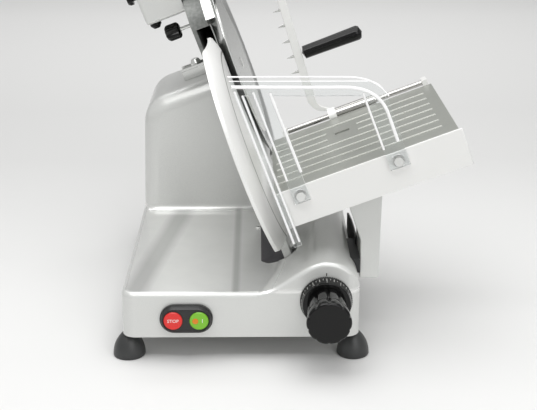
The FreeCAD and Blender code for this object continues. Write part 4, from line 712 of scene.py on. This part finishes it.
# panel: a closed outline eased at its corners, drawn in to make a thin raised sheet with a soft edge
def deckPanel():
    corners = np.asarray(deck["panel"], float)
    loop = np.concatenate([corners[-1:], corners, corners[:2]])
    steps = deck["cornerSteps"]
    edge = eased(loop, deck["corner"], steps)[1:-1 - steps]   # without the ends and the corner met twice
    middle = edge.mean(0)
    rings = [(1.0, deck["seat"])] + [(share, deck["rise"] * part) for share, part in deck["edge"]]
    points = np.stack([np.column_stack([middle + (edge - middle) * share,
                                        np.full(len(edge), machine["deckLevel"] + lift)])
                       for share, lift in rings])
    faces = gridFaces(len(rings), len(edge), closeColumns=True)
    return meshPiece("deckPanel", atBase(points[..., 0], points[..., 1], points[..., 2]), faces,
                     finishes["panel"], "frame", crisp=50)


deckPanel()
screwSeat = atBase(*deck["screw"], machine["deckLevel"] + deck["seat"])
screw = turnedPiece("deckScrew", *deck["screwProfile"], screwSeat, (0, 0, 1), finishes["steel"], "frame",
                    48, 50)

rails = {"u": (-101.0, -48.5), "v": (10.05, 13.5), "y": [(392.1, 395.6), (416.4, 419.9)]}


# bracket rail: a plain bar between two corners of the head's frame; two of them leave a groove
def barPiece(name, low, high, finish, body):
    corners = np.array([[(low, high)[k >> part & 1][part] for part in range(3)] for k in range(8)], float)
    faces = [(0, 1, 3, 2), (4, 5, 7, 6), (0, 1, 5, 4), (2, 3, 7, 6), (0, 2, 6, 4), (1, 3, 7, 5)]
    return meshPiece(name, atHead(*corners.T), faces, finish, body, smooth=False)


for number, (front, back) in enumerate(rails["y"]):
    low, high = (rails["u"][0], front, rails["v"][0]), (rails["u"][1], back, rails["v"][1])
    barPiece("bracketRail%d" % number, low, high, finishes["ring"], "frame")

# index mark above the dial: a narrow tile on the casting's front, narrower towards the dial
indexMark = {"x": [113.2, 114.8, 114.5, 113.5], "y": -0.12, "z": [127.6, 127.6, 123.2, 123.2]}
mark = meshPiece("indexMark", atBase(indexMark["x"], indexMark["y"], indexMark["z"]), [(0, 1, 2, 3)],
                 finishes["blackPrint"], "frame", smooth=False)

# white beads along the guard's edges, painted highlights: a radius, then the places across and up the blade
# they run through, all at one depth
highlightBeads = {"y": 13.4, "columns": 14, "tip": 0.2, "tipRadius": 0.01, "corner": 6.0, "lines": [
    (2.3, [(4.5, 42.5), (85.5, 11.5), (147, -11.5), (160, -19.5), (171, -31), (177, -44.5), (179, -55),
           (179, -98.5)]),
    (1.0, [(4.5, 56.5), (90, 24.5), (153.5, 0.5), (169, -9), (181.5, -24), (187, -38.5)]),
    (1.5, [(157.5, -23), (158.5, -103.5)]),
    (1.5, [(28, 27), (27.5, -99)]),
    (2.0, [(47.5, 18.5), (48.5, -94)]),
    (1.7, [(5.9, 36), (5.9, -184)]),
    (1.4, [(13.5, 27.5), (13.5, -184)]),
]}


# a tube: circles of one radius on a line, with one more close to each end, where it closes to a point
def tubePiece(name, radius, line, finish, body):
    starts = line[:1] + (line[1] - line[0]) / np.linalg.norm(line[1] - line[0]) * highlightBeads["tip"]
    ends = line[-1:] + (line[-2] - line[-1]) / np.linalg.norm(line[-2] - line[-1]) * highlightBeads["tip"]
    line = np.concatenate([line[:1], starts, line[1:-1], ends, line[-1:]])
    path = atHead(line[:, 0], highlightBeads["y"], line[:, 1])
    along = np.gradient(path, axis=0)
    along /= np.linalg.norm(along, axis=1)[:, None]
    side = np.cross(along, backward)
    turn = np.linspace(0, 2 * math.pi, highlightBeads["columns"], endpoint=False)
    radii = np.full(len(path), float(radius))
    radii[[0, -1]] = highlightBeads["tipRadius"]
    ring = np.cos(turn)[None, :, None] * side[:, None] + np.sin(turn)[None, :, None] * backward
    points = path[:, None] + radii[:, None, None] * ring
    faces = gridFaces(len(path), len(turn), closeColumns=True)
    return meshPiece(name, points, faces, finish, body, crisp=70)


# each bead is a white tube standing in for a highlight on the guard's edge
for number, (radius, line) in enumerate(highlightBeads["lines"]):
    line = np.asarray(line, float)
    if len(line) > 2:
        line = eased(line, highlightBeads["corner"], 6)
    else:
        line = line[0] + (line[1] - line[0]) * np.linspace(0, 1, 8)[:, None]
    tubePiece("guardHighlightBead%d" % number, radius, line, finishes["highlightWhite"], "carriage")

skirt = {"sides": (161.3, 163.4), "front": 119.0, "back": 268.0, "low": 66.0, "high": 134.0, "fall": 18.0}


# skirt of the carriage: an upright black sheet beside the casting, painted shade for the gap there; its top
# sinks to the back, high - fall * share^2
def dustSkirt():
    share = np.linspace(0, 1, 40)
    y = skirt["front"] + (skirt["back"] - skirt["front"]) * share
    foot = np.full(len(y), skirt["low"])
    top = skirt["high"] - skirt["fall"] * share ** 2
    inner, outer = skirt["sides"]
    lines = [(inner, foot), (inner, top), (outer, top), (outer, foot)]
    points = np.stack([atBase(x, y, z) for x, z in lines], 0)
    ends = [[row * len(y) + end for row in range(len(lines))] for end in (0, len(y) - 1)]
    faces = np.concatenate([gridFaces(len(lines), len(y), True), ends])
    return meshPiece("dustSkirt", points, faces, finishes["shadeBlack"], "carriage", crisp=40)


dustSkirt()
print("deck, guard and skirt")


# colours from near to far, the middle one a painted shade, where each change starts and ends along y in
# metres, and the paper's size
studio = {"nearColour": "#e9e9e8", "paintedShadeColour": "#d7d7d6", "farColour": "#ebebea",
          "nearTurns": (-0.15, 0.7), "middleTurns": (1.1, 2.4),
          "floorFront": -6000, "wallBack": 6000, "sweep": 900, "wallHigh": 3000, "halfWidth": 6000}


# backdrop: floor, quarter-circle sweep and wall, one profile carried sideways.
# Matt paper, which scatters light evenly; behind the machine a painted shade darkens it, paler near and far.
def backdrop():
    turn = np.linspace(0, math.pi / 2, 24)
    sweep = studio["sweep"]
    bend = studio["wallBack"] - sweep
    y = np.concatenate([[studio["floorFront"]], bend + sweep * np.sin(turn), [studio["wallBack"]]])
    z = np.concatenate([[0], sweep * (1 - np.cos(turn)), [studio["wallHigh"]]])
    side = np.array([-studio["halfWidth"], studio["halfWidth"]])
    points = np.stack([np.repeat(side[:, None], len(y), 1), np.repeat(y[None], 2, 0),
                       np.repeat(z[None], 2, 0)], -1)
    finish, tree, shader, spot = newFinish("paperSweep", studio["nearColour"], 0.0, 0.9)
    parts = addNode(tree, "ShaderNodeSeparateXYZ", {}, {}, {"Vector": spot})
    leaving, arriving = [span(tree, parts.outputs["Y"], 0, 1, *studio[part])
                         for part in ("nearTurns", "middleTurns")]
    # painted shade: the paper darkens to the middle colour behind the machine, then pales again far off
    near = tint(tree, leaving, studio["nearColour"], studio["paintedShadeColour"])
    far = addNode(tree, "ShaderNodeMix", {"data_type": "RGBA"}, {7: linear(studio["farColour"])},
                  {0: arriving, 6: near})
    tree.links.new(far.outputs[2], shader.inputs["Base Color"])
    return meshPiece("paperSweep", points, gridFaces(2, len(y)), finish, None)


backdrop()

# each lamp: place and target in metres, width, height, watts
lamps = {
    "softTop": ((-0.02, -0.3, 1.9), (0, 0, 0.2), 2.2, 1.6, 27),
    "strip": ((-0.15, -0.95, 1.35), (0, -0.1, 0.1), 1.2, 0.18, 4.5),
    "softFront": ((0.9, -2.2, 1.2), (0, 0, 0.25), 1.6, 1.6, 12),
    "rearWash": ((0, 1.5, 2.3), (0, 2.9, 0.0), 3.4, 1.2, 39),
}
for name, (place, target, wide, tall, watts) in lamps.items():
    data = bpy.data.lights.new(name, "AREA")
    data.shape = "RECTANGLE"
    data.size = wide
    data.size_y = tall
    data.energy = watts
    item = bpy.data.objects.new(name, data)
    bpy.context.scene.collection.objects.link(item)
    item.location = place
    item.rotation_euler = (Vector(target) - Vector(place)).to_track_quat("-Z", "Y").to_euler()

room = {"fillColour": "#eeeeee", "fill": 0.36, "paleColour": "#e6e6e5", "mirrored": 0.65}


# the room beyond the paper: the share of the pale room over the fill is 1 for what the camera sees, directly
# or through glass, and less for what metal mirrors; everything else gets the fill's even light alone
def studioRoom():
    world = bpy.data.worlds.new("studioWorld")
    bpy.context.scene.world = world
    world.use_nodes = True
    tree = world.node_tree
    fill = tree.nodes["Background"]
    fill.inputs["Color"].default_value = linear(room["fillColour"])
    fill.inputs["Strength"].default_value = room["fill"]
    path = addNode(tree, "ShaderNodeLightPath").outputs
    seenThrough = addNode(tree, "ShaderNodeMath", {"operation": "MAXIMUM"}, {},
                          {0: path["Is Camera Ray"], 1: path["Is Transmission Ray"]})
    mirrored = addNode(tree, "ShaderNodeMath", {"operation": "MULTIPLY"}, {1: room["mirrored"]},
                       {0: path["Is Glossy Ray"]})
    share = addNode(tree, "ShaderNodeMath", {"operation": "MAXIMUM"}, {},
                    {0: seenThrough.outputs[0], 1: mirrored.outputs[0]})
    pale = addNode(tree, "ShaderNodeBackground", {},
                   {"Color": linear(room["paleColour"]), "Strength": 1.0})
    both = addNode(tree, "ShaderNodeMixShader", {}, {},
                   {0: share.outputs[0], 1: fill.outputs[0], 2: pale.outputs[0]})
    tree.links.new(both.outputs[0], tree.nodes["World Output"].inputs["Surface"])


studioRoom()

# the lens and the sensor's width are in millimetres, the place is measured as on the base, and the angles
# are in degrees, down and to the right; nothing past clipEnd, in metres, is drawn
view = {"lens": 77.1, "sensor": 36, "place": (22.5, -1402.0, 717.0), "down": 19.4, "right": 0.6,
        "clipEnd": 30}
cameraData = bpy.data.cameras.new("camera")
cameraData.sensor_fit = "HORIZONTAL"
cameraData.sensor_width = view["sensor"]
cameraData.lens = view["lens"]
cameraData.clip_end = view["clipEnd"]
camera = bpy.data.objects.new("camera", cameraData)
bpy.context.scene.collection.objects.link(camera)
camera.location = (np.array(view["place"]) + baseShift) * mm
pitch, yaw = math.radians(view["down"]), math.radians(view["right"])
forward = Vector((math.sin(yaw) * math.cos(pitch), math.cos(yaw) * math.cos(pitch), -math.sin(pitch)))
camera.rotation_euler = forward.to_track_quat("-Z", "Y").to_euler()
bpy.context.scene.camera = camera
bpy.context.scene.view_settings.view_transform = "Standard"
print("studio ready")
